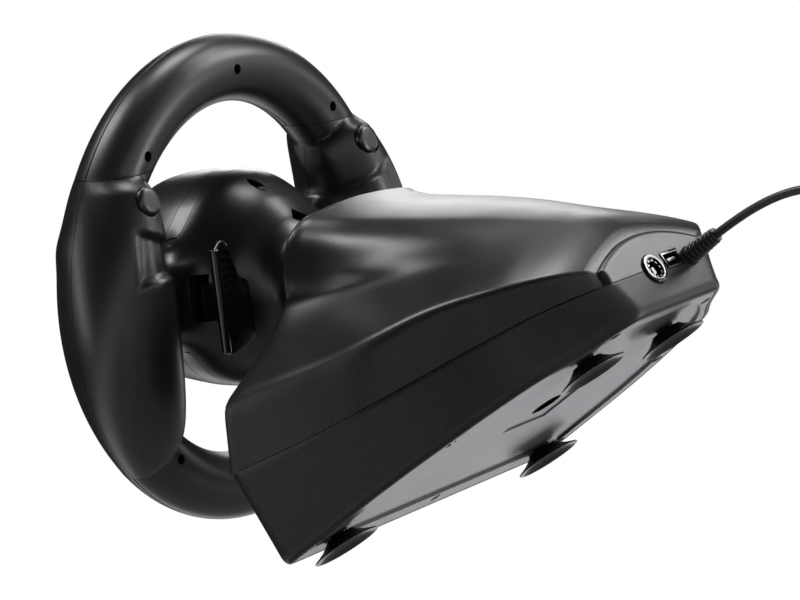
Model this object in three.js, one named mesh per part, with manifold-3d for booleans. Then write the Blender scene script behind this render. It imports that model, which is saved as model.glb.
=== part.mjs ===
// Desktop racing wheel on a suction-cup base. Millimetres, +Z up, the driver sits at -Y.
import * as THREE from 'three';
import { mergeVertices } from 'three/addons/utils/BufferGeometryUtils.js';
import Module from 'manifold-3d';

const wasm = await Module();
wasm.setup();

// ---- Driving dimensions -------------------------------------------------------------------
const gap = 0.3;                    // clearance kept between pieces that touch
const wall = 2.6;                   // moulded wall thickness
const baseY = -33.5;                // front suction cups, from the middle of the whole depth

const wheelTilt = THREE.MathUtils.degToRad(34.6);   // steering shaft falls towards the rear
const wheelCentre = [0, baseY - 45.2, 175.9];
const rimRadius = 116.2;            // to the middle of the rim tube
const rimTube = 18.8;
const gripStart = 51;               // degrees from the top of the wheel, start of a grip's swell
const gripEnd = 132.5;              // degrees, seam between grip and bottom arc
const gripSeamZ = 74;               // level seam between top arc and grips, above the hub centre
const gripSwell = { radial: 9.2, depth: 15.8, inward: 9, rearward: 8 };

const hubRadius = 60.5;
const bandDepth = 9.5;              // width of the trim bands behind the hub's front cover
const bandHalfAngle = 62;           // degrees each side of straight up or straight down
const neckRadius = 32.5;
const neckEnd = 84;                 // how far the neck runs back along the shaft
const spokeReach = 76;              // from the hub centre to the seam with a grip
const spokeHalf = { height: 27, depth: 17 };

const shaftRadius = 8;
const shaftSpan = [6, 178];         // along the shaft, from the wheel's middle plane
const bracketSpan = [100, 152];
const gearSpan = [160, 166];
const gearTeeth = 24;
const gearPitchRadius = 20;
const sensorDrop = 2 * gearPitchRadius + 0.5;

const cowlPlane = 87.5;             // front face of the base, square to the shaft
const plateBottom = 7.2;            // underside of the base above the desk
const plateThickness = 2.6;
const cupHeight = plateBottom + plateThickness + 0.4;
const cups = [
  ['suction_cup_front_right', 95, 0], ['suction_cup_front_left', -95, 0],
  ['suction_cup_rear_right', 38.2, 151], ['suction_cup_rear_left', -38.2, 151],
];
const cupRadius = 19.2;
const plateScrews = [
  [112.5, 1], [-112.5, 1], [98.5, 96], [-98.5, 96], [43.5, 178], [-43.5, 178], [0, -8],
];

const rearY = 195;                  // rear face, behind the front cups
const portZ = 28.5;
const pedalPortX = 6;
const shifterPortX = -13;
const cableX = -29;
const cableRadius = 2.3;
const coilRadius = 25;              // to the middle of the coiled turns
const coilCentreY = 330;            // where the coil rests, behind the front cups

// ---- Materials ----------------------------------------------------------------------------
const paint = (color, roughness, metalness = 0) =>
  new THREE.MeshStandardMaterial({ color, roughness, metalness });
const satin = paint(0x1c1c1d, 0.45);
const grained = paint(0x171718, 0.6);
const gloss = paint(0x0c0c0d, 0.15);
const underside = paint(0x2e2e2f, 0.5);
const vinyl = paint(0x0d0d0e, 0.3);
const steel = paint(0x9a9a9c, 0.3, 1);
const nylon = paint(0xd8d4c8, 0.6);
const board = paint(0x14502c, 0.5);
const cableSheath = paint(0x101011, 0.45);

// ---- Solids -------------------------------------------------------------------------------
function solid(geometry) {
  const bare = geometry.clone();
  for (const name of Object.keys(bare.attributes)) {
    if (name !== 'position') bare.deleteAttribute(name);
  }
  const merged = mergeVertices(bare, 1e-4);
  const triVerts = new Uint32Array(merged.index.array);
  const vertProperties = new Float32Array(merged.attributes.position.array);
  return new wasm.Manifold(new wasm.Mesh({ numProp: 3, vertProperties, triVerts }));
}

function geometryOf(body) {
  const { vertProperties, triVerts } = body.getMesh();
  const geometry = new THREE.BufferGeometry();
  geometry.setAttribute('position', new THREE.BufferAttribute(new Float32Array(vertProperties), 3));
  geometry.setIndex(new THREE.BufferAttribute(new Uint32Array(triVerts), 1));
  geometry.computeVertexNormals();
  return geometry;
}

const subtractAll = (body, tools) => tools.reduce((left, tool) => left.subtract(tool), body);
const block = (size, at) => solid(new THREE.BoxGeometry(...size).translate(...at));

// A box between two corners.
function span(low, high) {
  const size = high.map((value, axis) => value - low[axis]);
  return block(size, low.map((value, axis) => value + size[axis] / 2));
}

// A turned solid about +Z; the profile is [radius, height] from the axis round to the axis.
const turned = (profile, segments = 24) =>
  new THREE.LatheGeometry(profile.map(([r, z]) => new THREE.Vector2(r, z)), segments)
    .rotateX(Math.PI / 2);

// The same about the local +Y axis, which is the shaft's direction in the wheel's own frame.
const turnedY = (profile, segments = 24) =>
  new THREE.LatheGeometry(profile.map(([r, y]) => new THREE.Vector2(r, y)), segments);

const rod = (radius, from, to, segments = 16) =>
  turned([[0, from], [radius, from], [radius, to], [0, to]], segments);
const rodY = (radius, from, to, segments = 16) =>
  turnedY([[0, from], [radius, from], [radius, to], [0, to]], segments);

// A closed skin over rings of points; ringed skins join last to first, others get flat ends.
function loft(rings, ringed = false, flat = (p) => [p.x, p.z]) {
  const count = rings[0].length;
  const points = rings.flat();
  const faces = [];
  const steps = ringed ? rings.length : rings.length - 1;
  for (let i = 0; i < steps; i += 1) {
    const here = i * count;
    const next = ((i + 1) % rings.length) * count;
    for (let k = 0; k < count; k += 1) {
      const side = (k + 1) % count;
      faces.push([here + k, here + side, next + side], [here + k, next + side, next + k]);
    }
  }
  if (!ringed) {
    const last = (rings.length - 1) * count;
    const { area, triangulateShape } = THREE.ShapeUtils;
    const cap = (ring) => {
      const outline = ring.map((p) => new THREE.Vector2(...flat(p)));
      const wayRound = Math.sign(area(outline));
      return triangulateShape(outline, []).map(([a, b, c]) => (
        Math.sign(area([outline[a], outline[b], outline[c]])) === wayRound ? [a, b, c] : [a, c, b]));
    };
    for (const [a, b, c] of cap(rings[0])) faces.push([a, c, b]);
    for (const [a, b, c] of cap(rings.at(-1))) faces.push([last + a, last + b, last + c]);
  }
  const geometry = new THREE.BufferGeometry();
  const flatPoints = new Float32Array(points.flatMap((p) => [p.x, p.y, p.z]));
  geometry.setAttribute('position', new THREE.BufferAttribute(flatPoints, 3));
  geometry.setIndex(faces.flat());
  const body = solid(geometry);
  if (body.volume() > 0) return body;
  geometry.setIndex(faces.map(([a, b, c]) => [a, c, b]).flat());
  return solid(geometry);
}

// Straight-line lookup in a list of [key, value...] rows.
function between(rows, key) {
  const next = rows.findIndex((row) => row[0] >= key);
  if (next === 0) return rows[0].slice(1);
  if (next < 0) return rows.at(-1).slice(1);
  const [low, high] = [rows[next - 1], rows[next]];
  const part = (key - low[0]) / (high[0] - low[0]);
  return low.slice(1).map((value, i) => value + (high[i + 1] - value) * part);
}

const model = new THREE.Group();
const base = new THREE.Group();
base.position.set(0, baseY, 0);
const wheel = new THREE.Group();
wheel.position.set(...wheelCentre);
wheel.rotation.x = -wheelTilt;
model.add(base, wheel);

function place(parent, name, material, shape) {
  const mesh = new THREE.Mesh(shape instanceof wasm.Manifold ? geometryOf(shape) : shape, material);
  mesh.name = name;
  parent.add(mesh);
}

// ---- Base shells --------------------------------------------------------------------------
// Half-widths and heights along the base, from the front face (0) to the rear face (1).
// Each row: station, then y and z of the parting line, its half-width, the side crease's
// y, z and half-width, the crown's y and z, and the shoulder's half-width and drop.
const baseRows = [
  [0.00, -17, 63, 125, 4, 94, 125, 53.5, 165, 49, 3.5],
  [0.14, 22, 55, 124, 38, 86, 123, 72, 150, 40, 3],
  [0.28, 52, 49.5, 122, 70, 78, 120, 92, 136.5, 37, 3],
  [0.44, 84, 45, 117, 103, 72, 116, 116, 120, 34, 2.5],
  [0.58, 110, 42, 107, 130, 67, 107, 138, 104.5, 29, 2.5],
  [0.71, 134, 39.5, 97, 151, 60.5, 97, 155, 91, 24, 2],
  [0.82, 158, 36.5, 86, 170, 53, 85, 170, 79, 20, 2],
  [0.92, 180, 33, 68, 186, 45, 67, 184, 66, 18, 2],
  [1.00, rearY, 29.5, 47, rearY, 38, 47, rearY, 50, 22, 2.5],
];

// Cross-section of the upper shell at a station, drawn in by an inset, right side to left. Its
// lowest stretch can run on below the parting line, by a part of its own length.
function upperSection(station, inset, runOn) {
  const [py, pz, pw, cy, cz, cw, ty, tz, sw, drop] = between(baseRows, station);
  const flank = [[1, 0], [0.62, 0.16], [0.3, 0.42], [0.08, 0.72], [0, 1]];
  const waist = Math.max(0, 1 - station * 1.25);   // the flank is hollow near the front only
  const side = [
    [pw + (pw - cw) * runOn, py + (py - cy) * runOn, pz + (pz - cz) * runOn],
    [cw, cy, cz],
  ];
  const shoulder = [sw, ty - (tz - cz) * 0.02, tz - drop];
  for (const [out, up] of flank.slice(1, -1)) {
    const straight = 1 - up;
    const across = out * waist + straight * (1 - waist) + (1 - waist) * 0.1 * Math.sin(Math.PI * up);
    side.push([
      shoulder[0] + (cw - shoulder[0]) * across,
      cy + (shoulder[1] - cy) * up,
      cz + (shoulder[2] - cz) * up,
    ]);
  }
  side.push(shoulder);
  const right = side.map(([x, y, z], i) => new THREE.Vector3(x - inset, y, z - (i > 1 ? inset : 0)));
  const left = right.map((p) => new THREE.Vector3(-p.x, p.y, p.z)).reverse();
  return [...right, new THREE.Vector3(0, ty, tz - inset), ...left];
}

const stations = baseRows.map((row) => row[0]);

const innerStations = [0.01, ...stations.slice(1, -1), 0.985];
const upperOuter = loft(stations.map((s) => upperSection(s, 0, 0)));
const upperInner = loft(innerStations.map((s) => upperSection(s, wall, 0.6)));

// Outlines of the base seen from above, at the parting line and at the bottom edge: distance
// behind the front cups and half-width.
const planTop = [
  [-17, 125], [22, 124], [52, 122], [84, 117], [110, 107], [134, 97], [158, 86], [180, 68], [rearY, 47],
];
const planBottom = [
  [-20, 121], [18, 119], [50, 116.5], [80, 111], [106, 103], [130, 94], [150, 82], [170, 60],
  [rearY - 2, 40],
];
const partingZ = (y) => between(baseRows.map((row) => [row[1], row[2]]), y)[0];

function planRing(plan, inset, height) {
  const half = plan.map(([y, x], i) => {
    const depth = i === 0 ? y + inset : i === plan.length - 1 ? y - inset : y;
    return [x - inset, depth];
  });
  const right = half.map(([x, y], i) => new THREE.Vector3(x, y, height(i)));
  const left = half.map(([x, y], i) => new THREE.Vector3(-x, y, height(i))).reverse();
  return [...right, ...left];
}

const seenFromAbove = (p) => [p.x, p.y];
const roundStep = 4;                // rounding along the bottom edge of the lower shell
const edgeInset = 2;
const atParting = (rise) => (i) => partingZ(planTop[i][0]) + rise;
const lowerOuter = loft([
  planRing(planBottom, 0, () => plateBottom),
  planRing(planBottom, -edgeInset, () => plateBottom + roundStep),
  planRing(planTop, 0, atParting(0)),
  planRing(planTop, 0, atParting(6)),
], false, seenFromAbove);
const lowerInner = loft([
  planRing(planBottom, wall, () => plateBottom - 1),
  planRing(planBottom, wall - edgeInset, () => plateBottom + roundStep),
  planRing(planTop, wall, atParting(0)),
  planRing(planTop, wall, atParting(9)),
], false, seenFromAbove);

// Everything above the parting line, which falls in straight steps towards the rear.
const abovePartingRings = [[-60, partingZ(-17)], ...baseRows.map((row) => [row[1], row[2]]),
  [rearY + 40, partingZ(rearY)]].map(([y, z]) => [[-200, z - gap], [200, z - gap], [200, 300], [-200, 300]]
  .map(([x, height]) => new THREE.Vector3(x, y, height)));
const lowerShell = lowerOuter.subtract(lowerInner).subtract(loft(abovePartingRings));

// Pockets in the rear wall where the sockets and the cable boot sit.
const portPockets = [
  solid(rod(8.6, -14, 14, 16).rotateX(Math.PI / 2).translate(pedalPortX, rearY, portZ)),
  block([16.6, 28, 9.6], [shifterPortX, rearY, portZ + 2]),
  solid(rod(5.6, -14, 14, 12).rotateX(Math.PI / 2).translate(cableX, rearY, portZ)),
];

const cowlOpeningRadius = 42;
const cowlOpening = solid(rodY(cowlOpeningRadius, cowlPlane - 10, cowlPlane + 10, 28)
  .rotateX(-wheelTilt).translate(0, wheelCentre[1] - baseY, wheelCentre[2]));
place(base, 'base_upper_shell', satin,
  subtractAll(upperOuter.subtract(upperInner), [...portPockets, cowlOpening]));
place(base, 'base_lower_shell', grained, subtractAll(lowerShell, portPockets));

// ---- Bottom plate, its screws and the suction cups ----------------------------------------
const plateInset = wall + gap;
const clampSeat = { y: 88, half: 20, boreRadius: 9 };
const plateBlank = loft([
  planRing(planBottom, plateInset, () => plateBottom),
  planRing(planBottom, plateInset, () => plateBottom + plateThickness),
], false, seenFromAbove);
const screwHeadRadius = 3;
const screwShankRadius = 1.4;
const plateCuts = [
  ...plateScrews.map(([x, y]) => solid(rod(screwShankRadius + gap, 0, 40, 8).translate(x, y, 0))),
  ...plateScrews.map(([x, y]) =>
    solid(rod(screwHeadRadius + gap, 0, plateBottom + 1.6, 10).translate(x, y, 0))),
  ...cups.map(([, x, y]) => solid(rod(5.4, 0, 40, 12).translate(x, y, 0))),
  span([-clampSeat.half, clampSeat.y - clampSeat.half, 0],
    [clampSeat.half, clampSeat.y + clampSeat.half, plateBottom + 1.2]),
  solid(rod(clampSeat.boreRadius, 0, 40, 16).translate(0, clampSeat.y, 0)),
];
const screwInset = 12;              // screws sit this far inside the plate's edge
place(base, 'bottom_plate', underside, subtractAll(plateBlank, plateCuts));

const cupProfile = [
  [0, 3.2], [6, 2.9], [13, 0.9], [14, 0], [cupRadius, 0], [cupRadius, 0.7], [13, 3.4], [9, 6],
  [8.6, plateBottom - gap], [5, plateBottom - gap], [5, cupHeight + 2], [0, cupHeight + 2],
];
for (const [name, x, y] of cups) {
  place(base, name, vinyl, turned(cupProfile, 16).translate(x, y, 0));
}

plateScrews.forEach(([x, y], i) => {
  const profile = [
    [0, plateBottom + 0.2], [screwHeadRadius, plateBottom + 0.2],
    [screwHeadRadius, plateBottom + 1.3], [screwShankRadius, plateBottom + 1.3],
    [screwShankRadius, plateBottom + screwInset], [0, plateBottom + screwInset],
  ];
  place(base, `plate_screw_${i + 1}`, steel, turned(profile, 10).translate(x, y, 0));
});

// ---- Sockets, boot, cord and boards in the base -------------------------------------------
const alongY = (geometry) => geometry.rotateX(-Math.PI / 2);   // turns +Z geometry to face +Y

const pedalSocket = solid(alongY(turned(
  [[0, -9], [8.2, -9], [8.2, 1.5], [5.6, 1.5], [5.6, -6], [0, -6]], 20)).translate(pedalPortX, rearY, portZ));
place(base, 'pedal_socket', gloss, pedalSocket);

const shifterZ = portZ + 2;
const shifterSocket = span([shifterPortX - 8, rearY - 11, shifterZ - 4.5], [shifterPortX + 8, rearY + 0.6, shifterZ + 4.5])
  .subtract(span([shifterPortX - 6.6, rearY - 9, shifterZ - 3.2], [shifterPortX + 6.6, rearY + 2, shifterZ + 3.2]));
place(base, 'shifter_socket', gloss, shifterSocket);

const bootEnd = rearY + 21;
place(base, 'cable_boot', cableSheath, solid(alongY(turned(
  [[0, -6], [5.2, -6], [5.2, 2], [3.9, 21], [0, 21]], 14)).translate(cableX, rearY, portZ)));

// The cord leaves the boot level, falls to the desk, and is stored as a flat coil.
const floorZ = cableRadius;
const cordRoute = [
  [cableX, bootEnd + gap, portZ], [cableX, 226, portZ - 0.3], [cableX, 238, portZ - 1],
  [cableX, 250, portZ - 2.6], [cableX, 262, portZ - 5.4], [cableX, 273, portZ - 9.6],
  [cableX, 282, portZ - 14.8], [cableX, 290, portZ - 20], [cableX, 297.5, floorZ + 2.2],
  [cableX, 304.5, floorZ + 0.3], [cableX, 311.4, floorZ],
];
const coilHeight = 4 * 2 * cableRadius;
const coilHalfWidth = 3.5 * cableRadius + 0.4;
const coilInner = coilRadius - coilHalfWidth;
const coilOuter = coilRadius + coilHalfWidth;

const routeCurve = new THREE.CatmullRomCurve3(cordRoute.map((p) => new THREE.Vector3(...p)));
const roundSection = (radius, sides) => new THREE.Shape(Array.from({ length: sides }, (_, k) =>
  new THREE.Vector2(radius * Math.cos((2 * Math.PI * k) / sides), radius * Math.sin((2 * Math.PI * k) / sides))));
place(base, 'usb_cable', cableSheath, new THREE.ExtrudeGeometry(roundSection(cableRadius, 8),
  { steps: 16, extrudePath: routeCurve, bevelEnabled: false }));
const coil = new THREE.Group();
const coilX = cableX - coilRadius - 2.5 * cableRadius;    // the cord meets the outer turn along it
coil.position.set(coilX, coilCentreY, 0);
base.add(coil);
place(coil, 'cable_coil', cableSheath, turned([
  [coilInner, 0], [coilOuter, 0], [coilOuter, coilHeight], [coilInner, coilHeight], [coilInner, 0],
], 24));
place(coil, 'coil_tie', vinyl, span([-3, -coilOuter - 1.2, 0.01], [3, -coilInner + 2, coilHeight + 1.2])
  .subtract(span([-5, -coilOuter - gap, -gap], [5, -coilInner + 1, coilHeight + gap])));
const plugX = -coilOuter - gap - 8;
place(coil, 'usb_plug_body', gloss, span([plugX - 8, -22, 0], [plugX + 8, 0, 8]));
place(coil, 'usb_plug_shell', steel, span([plugX - 6, -36, 1.8], [plugX + 6, -22 - gap, 6.3]));

place(base, 'main_board', board, span([-42, 128, 12.5], [42, 172, 14.1]));

// ---- Steering column ----------------------------------------------------------------------
const column = new THREE.Group();   // fixed, but laid out in the shaft's own frame
column.position.copy(wheel.position).sub(base.position);
column.rotation.copy(wheel.rotation);
base.add(column);

const [bracketFront, bracketRear] = bracketSpan;
const bushDepth = 12;
const bushRadius = 13;
const bracketHalf = 21;
const toBase = (body) => {
  const geometry = geometryOf(body).rotateX(-wheelTilt);
  return solid(geometry.translate(0, wheelCentre[1] - baseY, wheelCentre[2]));
};
const bracketBlock = toBase(span([-bracketHalf, bracketFront, -bracketHalf], [bracketHalf, bracketRear, bracketHalf]));
const bracketBore = toBase(solid(rodY(bushRadius + 4, bracketFront + bushDepth + 2, bracketRear - bushDepth - 2, 20))
  .add(solid(rodY(bushRadius + gap, bracketFront - 1, bracketRear + 1, 20))));
const plateTop = plateBottom + plateThickness;
const bracketFoot = span([-34, 26, plateTop + gap], [34, 74, plateTop + 4]);
const bracketLegs = [-1, 1].map((side) => span([side * 19 - 3, 30, plateTop + 2], [side * 19 + 3, 50, 100]));
const sensorTab = toBase(span([-8, gearSpan[0] - 17, -sensorDrop - 9], [8, gearSpan[0] - 12 - gap, -18]));
const bracket = [...bracketLegs, sensorTab].reduce((body, leg) => body.add(leg), bracketBlock.add(bracketFoot))
  .subtract(bracketBore)
  .subtract(toBase(solid(rodY(shaftRadius + 14, 60, bracketFront, 20))));
place(base, 'column_bracket', nylon, bracket);

const bush = (from) => turnedY([
  [shaftRadius + gap, from], [bushRadius, from], [bushRadius, from + bushDepth],
  [shaftRadius + gap, from + bushDepth], [shaftRadius + gap, from],
], 20);
place(column, 'front_bushing', steel, bush(bracketFront));
place(column, 'rear_bushing', steel, bush(bracketRear - bushDepth));

const springTurns = 5;
const springRadius = 11.5;
const springStart = bracketFront + bushDepth + 2;
const springPitch = 4.4;
const springPath = new THREE.CatmullRomCurve3(Array.from({ length: springTurns * 10 + 1 }, (_, i) => {
  const turn = (2 * Math.PI * i) / 10;
  const along = springStart + 1 + (springPitch * i) / 10;
  return new THREE.Vector3(springRadius * Math.cos(turn), along, springRadius * Math.sin(turn));
}));
place(column, 'centring_spring', steel, new THREE.ExtrudeGeometry(roundSection(0.9, 5),
  { steps: springTurns * 10, extrudePath: springPath, bevelEnabled: false }));

const [gearFront, gearRear] = gearSpan;
const sensorShaftRadius = 3;
place(column, 'steering_sensor', nylon, solid(rodY(9, gearFront - 12, gearFront - 1, 16))
  .add(solid(rodY(sensorShaftRadius - gap, gearFront - 2, gearRear + 1, 10))).translate([0, 0, -sensorDrop]));

// Trapezoid-toothed spur gear about the local +Y axis, with a tooth or a gap pointing down.
function spurGear(teeth, pitchRadius, boreRadius, toothDown) {
  const pitch = (2 * Math.PI) / teeth;
  const module_ = (2 * pitchRadius) / teeth;
  const tipRadius = pitchRadius + 0.85 * module_;
  const rootRadius = pitchRadius - 1.2 * module_;
  const corners = [[-0.34, rootRadius], [-0.13, tipRadius], [0.13, tipRadius], [0.34, rootRadius]];
  const outline = [];
  for (let k = 0; k < teeth; k += 1) {
    const centre = -Math.PI / 2 + pitch * (k + (toothDown ? 0 : 0.5));
    for (const [part, radius] of corners) {
      const turn = centre + part * pitch;
      outline.push(new THREE.Vector2(radius * Math.cos(turn), radius * Math.sin(turn)));
    }
  }
  const shape = new THREE.Shape(outline);
  shape.holes.push(new THREE.Path(roundSection(boreRadius, 12).getPoints()));
  return new THREE.ExtrudeGeometry(shape, { depth: gearRear - gearFront, bevelEnabled: false })
    .rotateX(Math.PI / 2).translate(0, gearRear, 0);
}
place(wheel, 'shaft_gear', nylon, spurGear(gearTeeth, gearPitchRadius, shaftRadius + gap, true));
place(column, 'sensor_gear', nylon,
  spurGear(gearTeeth, gearPitchRadius, sensorShaftRadius, false).translate(0, 0, -sensorDrop));

// ---- Wheel: rim and grips -----------------------------------------------------------------
const degrees = THREE.MathUtils.degToRad;
const gripFullness = (angle) => {
  const part = (Math.abs(angle) - gripStart) / (gripEnd - gripStart);
  return part <= 0 || part >= 1 ? 0 : Math.sin(Math.PI * part) ** 0.6;
};

// Section of the rim at an angle from the top, drawn in by an inset: an oval that swells
// inwards and rearwards through each grip.
function rimSection(angle, inset, sides) {
  const full = gripFullness(angle);
  const across = rimTube + gripSwell.radial * full - inset;
  const deep = rimTube + gripSwell.depth * full - inset;
  const middle = rimRadius - gripSwell.inward * full;
  const back = gripSwell.rearward * full;
  const turn = degrees(angle);
  return Array.from({ length: sides }, (_, k) => {
    const around = (2 * Math.PI * k) / sides;
    const radius = middle + across * Math.cos(around);
    return new THREE.Vector3(radius * Math.sin(turn), back + deep * Math.sin(around), radius * Math.cos(turn));
  });
}
const rimAngles = [];
for (let angle = -180; angle < 180; angle += 10) rimAngles.push(angle);
const rimSides = 14;
const ringBody = (inset) => loft(rimAngles.map((angle) => rimSection(angle, inset, rimSides)), true);
const rimShell = ringBody(0).subtract(ringBody(wall));

const big = 400;
const frontHalf = span([-big, -big, -big], [big, -gap / 2, big]);
const backHalf = span([-big, gap / 2, -big], [big, big, big]);
const aboveSeam = span([-big, -big, gripSeamZ + gap / 2], [big, big, big]);
const belowSeam = span([-big, -big, -big], [big, big, gripSeamZ - gap / 2]);
function lowerWedge(extra) {
  const reach = 300;
  const turn = degrees(180 - gripEnd);
  const corner = [reach * Math.sin(turn), -reach * Math.cos(turn)];
  const tip = extra / Math.sin(turn);
  const shape = new THREE.Shape([
    new THREE.Vector2(0, tip), new THREE.Vector2(-corner[0], corner[1] + tip),
    new THREE.Vector2(corner[0], corner[1] + tip)]);
  return solid(new THREE.ExtrudeGeometry(shape, { depth: 200, bevelEnabled: false })
    .rotateX(Math.PI / 2).translate(0, 100, 0));
}
const bottomZone = lowerWedge(-gap / 2);
const bottomZoneWide = lowerWedge(gap / 2);

place(wheel, 'rim_top_front', satin, rimShell.intersect(frontHalf).intersect(aboveSeam));
place(wheel, 'rim_top_back', satin, rimShell.intersect(backHalf).intersect(aboveSeam));
place(wheel, 'rim_bottom_front', satin, rimShell.intersect(frontHalf).intersect(bottomZone));
place(wheel, 'rim_bottom_back', satin, rimShell.intersect(backHalf).intersect(bottomZone));

// A spoke is a rounded bar from inside the hub to inside a grip.
function spokeBar(from, to, inset) {
  const { height, depth } = spokeHalf;
  const ring = (x, grow) => Array.from({ length: 12 }, (_, k) => {
    const around = (2 * Math.PI * (k + 0.5)) / 12;
    const soften = (value) => Math.sign(value) * Math.abs(value) ** 0.6;
    return new THREE.Vector3(x, (depth + grow - inset) * soften(Math.sin(around)),
      2 + (height + grow - inset) * soften(Math.cos(around)));
  });
  return loft([ring(from, 0), ring(to, 0)], false, (p) => [p.y, p.z]);
}

// Places of the buttons behind the grips, and the way they face.
const backButton = { x: 97.5, y: 28.5, z: 61, radius: 7.5, lean: degrees(17.5), travel: 1.5 };
function backButtonSolid(radius, from, to, side) {
  return solid(rodY(radius, from, to, 16)
    .rotateX(backButton.lean).translate(side * backButton.x, backButton.y, backButton.z));
}

for (const [word, side] of [['right', 1], ['left', -1]]) {
  const sideZone = side > 0 ? span([0, -big, -big], [big, big, big]) : span([-big, -big, -big], [0, big, big]);
  const hollow = ringBody(wall);
  const stub = spokeBar(side * (spokeReach + gap), side * 104, 0).subtract(spokeBar(side * 60, side * 110, wall));
  const grip = rimShell.add(stub.subtract(hollow)).subtract(bottomZoneWide).intersect(belowSeam).intersect(sideZone)
    .subtract(spokeBar(side * 60, side * 90, wall))
    .subtract(backButtonSolid(backButton.radius + gap, -12, 8, side));
  place(wheel, `${word}_grip_front`, satin, grip.intersect(frontHalf));
  place(wheel, `${word}_grip_back`, satin, grip.intersect(backHalf));
}

// ---- Wheel: hub ---------------------------------------------------------------------------
const hubFaceY = -58;               // front of the hub, towards the driver
const hubFaceRadius = 36;
const hubFrontProfile = [
  [hubFaceRadius, hubFaceY], [46, -50.5], [53.6, -39], [57.6, -26], [59.6, -12], [hubRadius, -gap / 2],
];
const hubBackProfile = [
  [hubRadius, gap / 2], [59.3, 15], [54.7, 26], [47.5, 38], [36, 51], [neckRadius, 60],
  [neckRadius, neckEnd],
];

function dome(profile, inset) {
  const inner = profile.map(([r, y]) => [r - inset, y]);
  const [, firstY] = inner[0];
  const [, lastY] = inner.at(-1);
  return solid(turnedY([[0, firstY], ...inner, [0, lastY]], 24));
}

// Hollow cover over one half of the hub, with a hollow stub for each spoke.
function hubCover(profile, inwards, half) {
  const outer = dome(profile, 0);
  const inner = dome(profile.map(([r, y]) => [r, y + inwards * wall]), wall);
  const stubs = [-1, 1].map((side) => spokeBar(side * 40, side * spokeReach, 0).intersect(half));
  const hollows = [-1, 1].map((side) => spokeBar(side * 30, side * (spokeReach + 4), wall));
  return subtractAll(stubs.reduce((body, stub) => body.add(stub), outer), [inner, ...hollows]);
}

// The space above or below the spokes, between two rays from the shaft.
function sector(halfAngle, up) {
  const reach = 120;
  const turn = degrees(halfAngle);
  const [out, rise] = [reach * Math.sin(turn), up * reach * Math.cos(turn)];
  const shape = new THREE.Shape([new THREE.Vector2(0, 0), new THREE.Vector2(out, rise),
    new THREE.Vector2(reach, up * reach), new THREE.Vector2(-reach, up * reach),
    new THREE.Vector2(-out, rise)]);
  return solid(new THREE.ExtrudeGeometry(shape, { depth: 100, bevelEnabled: false })
    .rotateX(Math.PI / 2).translate(0, 50, 0));
}
const bandZone = (up, extra) => sector(bandHalfAngle + extra, up)
  .intersect(span([-big, -big, -big], [big, bandDepth + extra * gap, big]));

const slot = { y: 24, half: [9, 3.6, 13] };
const paddleSlots = [-1, 1].map((side) => block(slot.half.map((h) => 2 * h), [side * 56, slot.y, 0]));
const shaftHole = solid(rodY(shaftRadius + gap, 0, neckEnd + 5, 16));

const backCover = hubCover(hubBackProfile, -1, backHalf);
place(wheel, 'hub_back_cover', satin,
  subtractAll(backCover, [bandZone(1, 1), bandZone(-1, 1), ...paddleSlots, shaftHole]));
place(wheel, 'hub_trim_top', gloss, backCover.intersect(bandZone(1, 0)));
place(wheel, 'hub_trim_bottom', gloss, backCover.intersect(bandZone(-1, 0)));

// Controls on the hub's front face: name, x, z and radius of each round cap.
const capDepth = 8;
const capProud = 1.6;
const capTravel = 1.2;
const roundCaps = [
  ['action_button_top', 19, 12.5, 4], ['action_button_bottom', 19, -4.5, 4],
  ['action_button_left', 10.5, 4, 4], ['action_button_right', 27.5, 4, 4],
  ['menu_button_left', -8, -20, 3], ['menu_button_right', 8, -20, 3], ['mode_button', 0, 24, 4.5],
];
const capRod = (radius, x, z, from, to) => solid(rodY(radius, from, to, 12)).translate([x, 0, z]);
const padCentre = [-19, 4];
const padArm = 10.5;
const padHalf = 3.4;
function padCross(grow, from, to) {
  const [x, z] = padCentre;
  const [long, thin] = [padArm + grow, padHalf + grow];
  return span([x - long, from, z - thin], [x + long, to, z + thin])
    .add(span([x - thin, from, z - long], [x + thin, to, z + long]));
}
const padClearance = 0.9;
place(wheel, 'hub_front_cover', satin, subtractAll(hubCover(hubFrontProfile, 1, frontHalf), [
  ...roundCaps.map(([, x, z, r]) => capRod(r + gap, x, z, hubFaceY - 5, hubFaceY + capDepth)),
  padCross(padClearance, hubFaceY - 5, hubFaceY + capDepth),
]));
for (const [name, x, z, r] of roundCaps) {
  place(wheel, name, gloss, capRod(r, x, z, hubFaceY - capProud, hubFaceY + capDepth - 1));
}
place(wheel, 'd_pad', gloss, padCross(0, hubFaceY - capProud, hubFaceY + capDepth - 2));
place(wheel, 'wheel_board', board, solid(rodY(38, hubFaceY + 12, hubFaceY + 13.6, 20)));
place(wheel, 'steering_shaft', steel, rodY(shaftRadius, ...shaftSpan, 16));

// ---- Wheel: paddles, buttons behind the grips and rumble motors ---------------------------
const paddlePivot = [46, slot.y];
const bladeY = 48;
const bladeThickness = 2.4;
const bladeOutline = [
  [67.5, 35.5], [74, 30], [72, -20], [69.5, -27], [63, -27.5], [48, -23], [45.5, -20],
  [45.5, -6], [48, 10], [55, 13], [62.7, 33],
];
const edgeBarRadius = 2.2;
const armLine = [[46, 24], [57, 24.8], [64.5, 34], [67.5, bladeY + 2]];
const armThickness = 3;
const armHalfHeight = 9;

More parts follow.
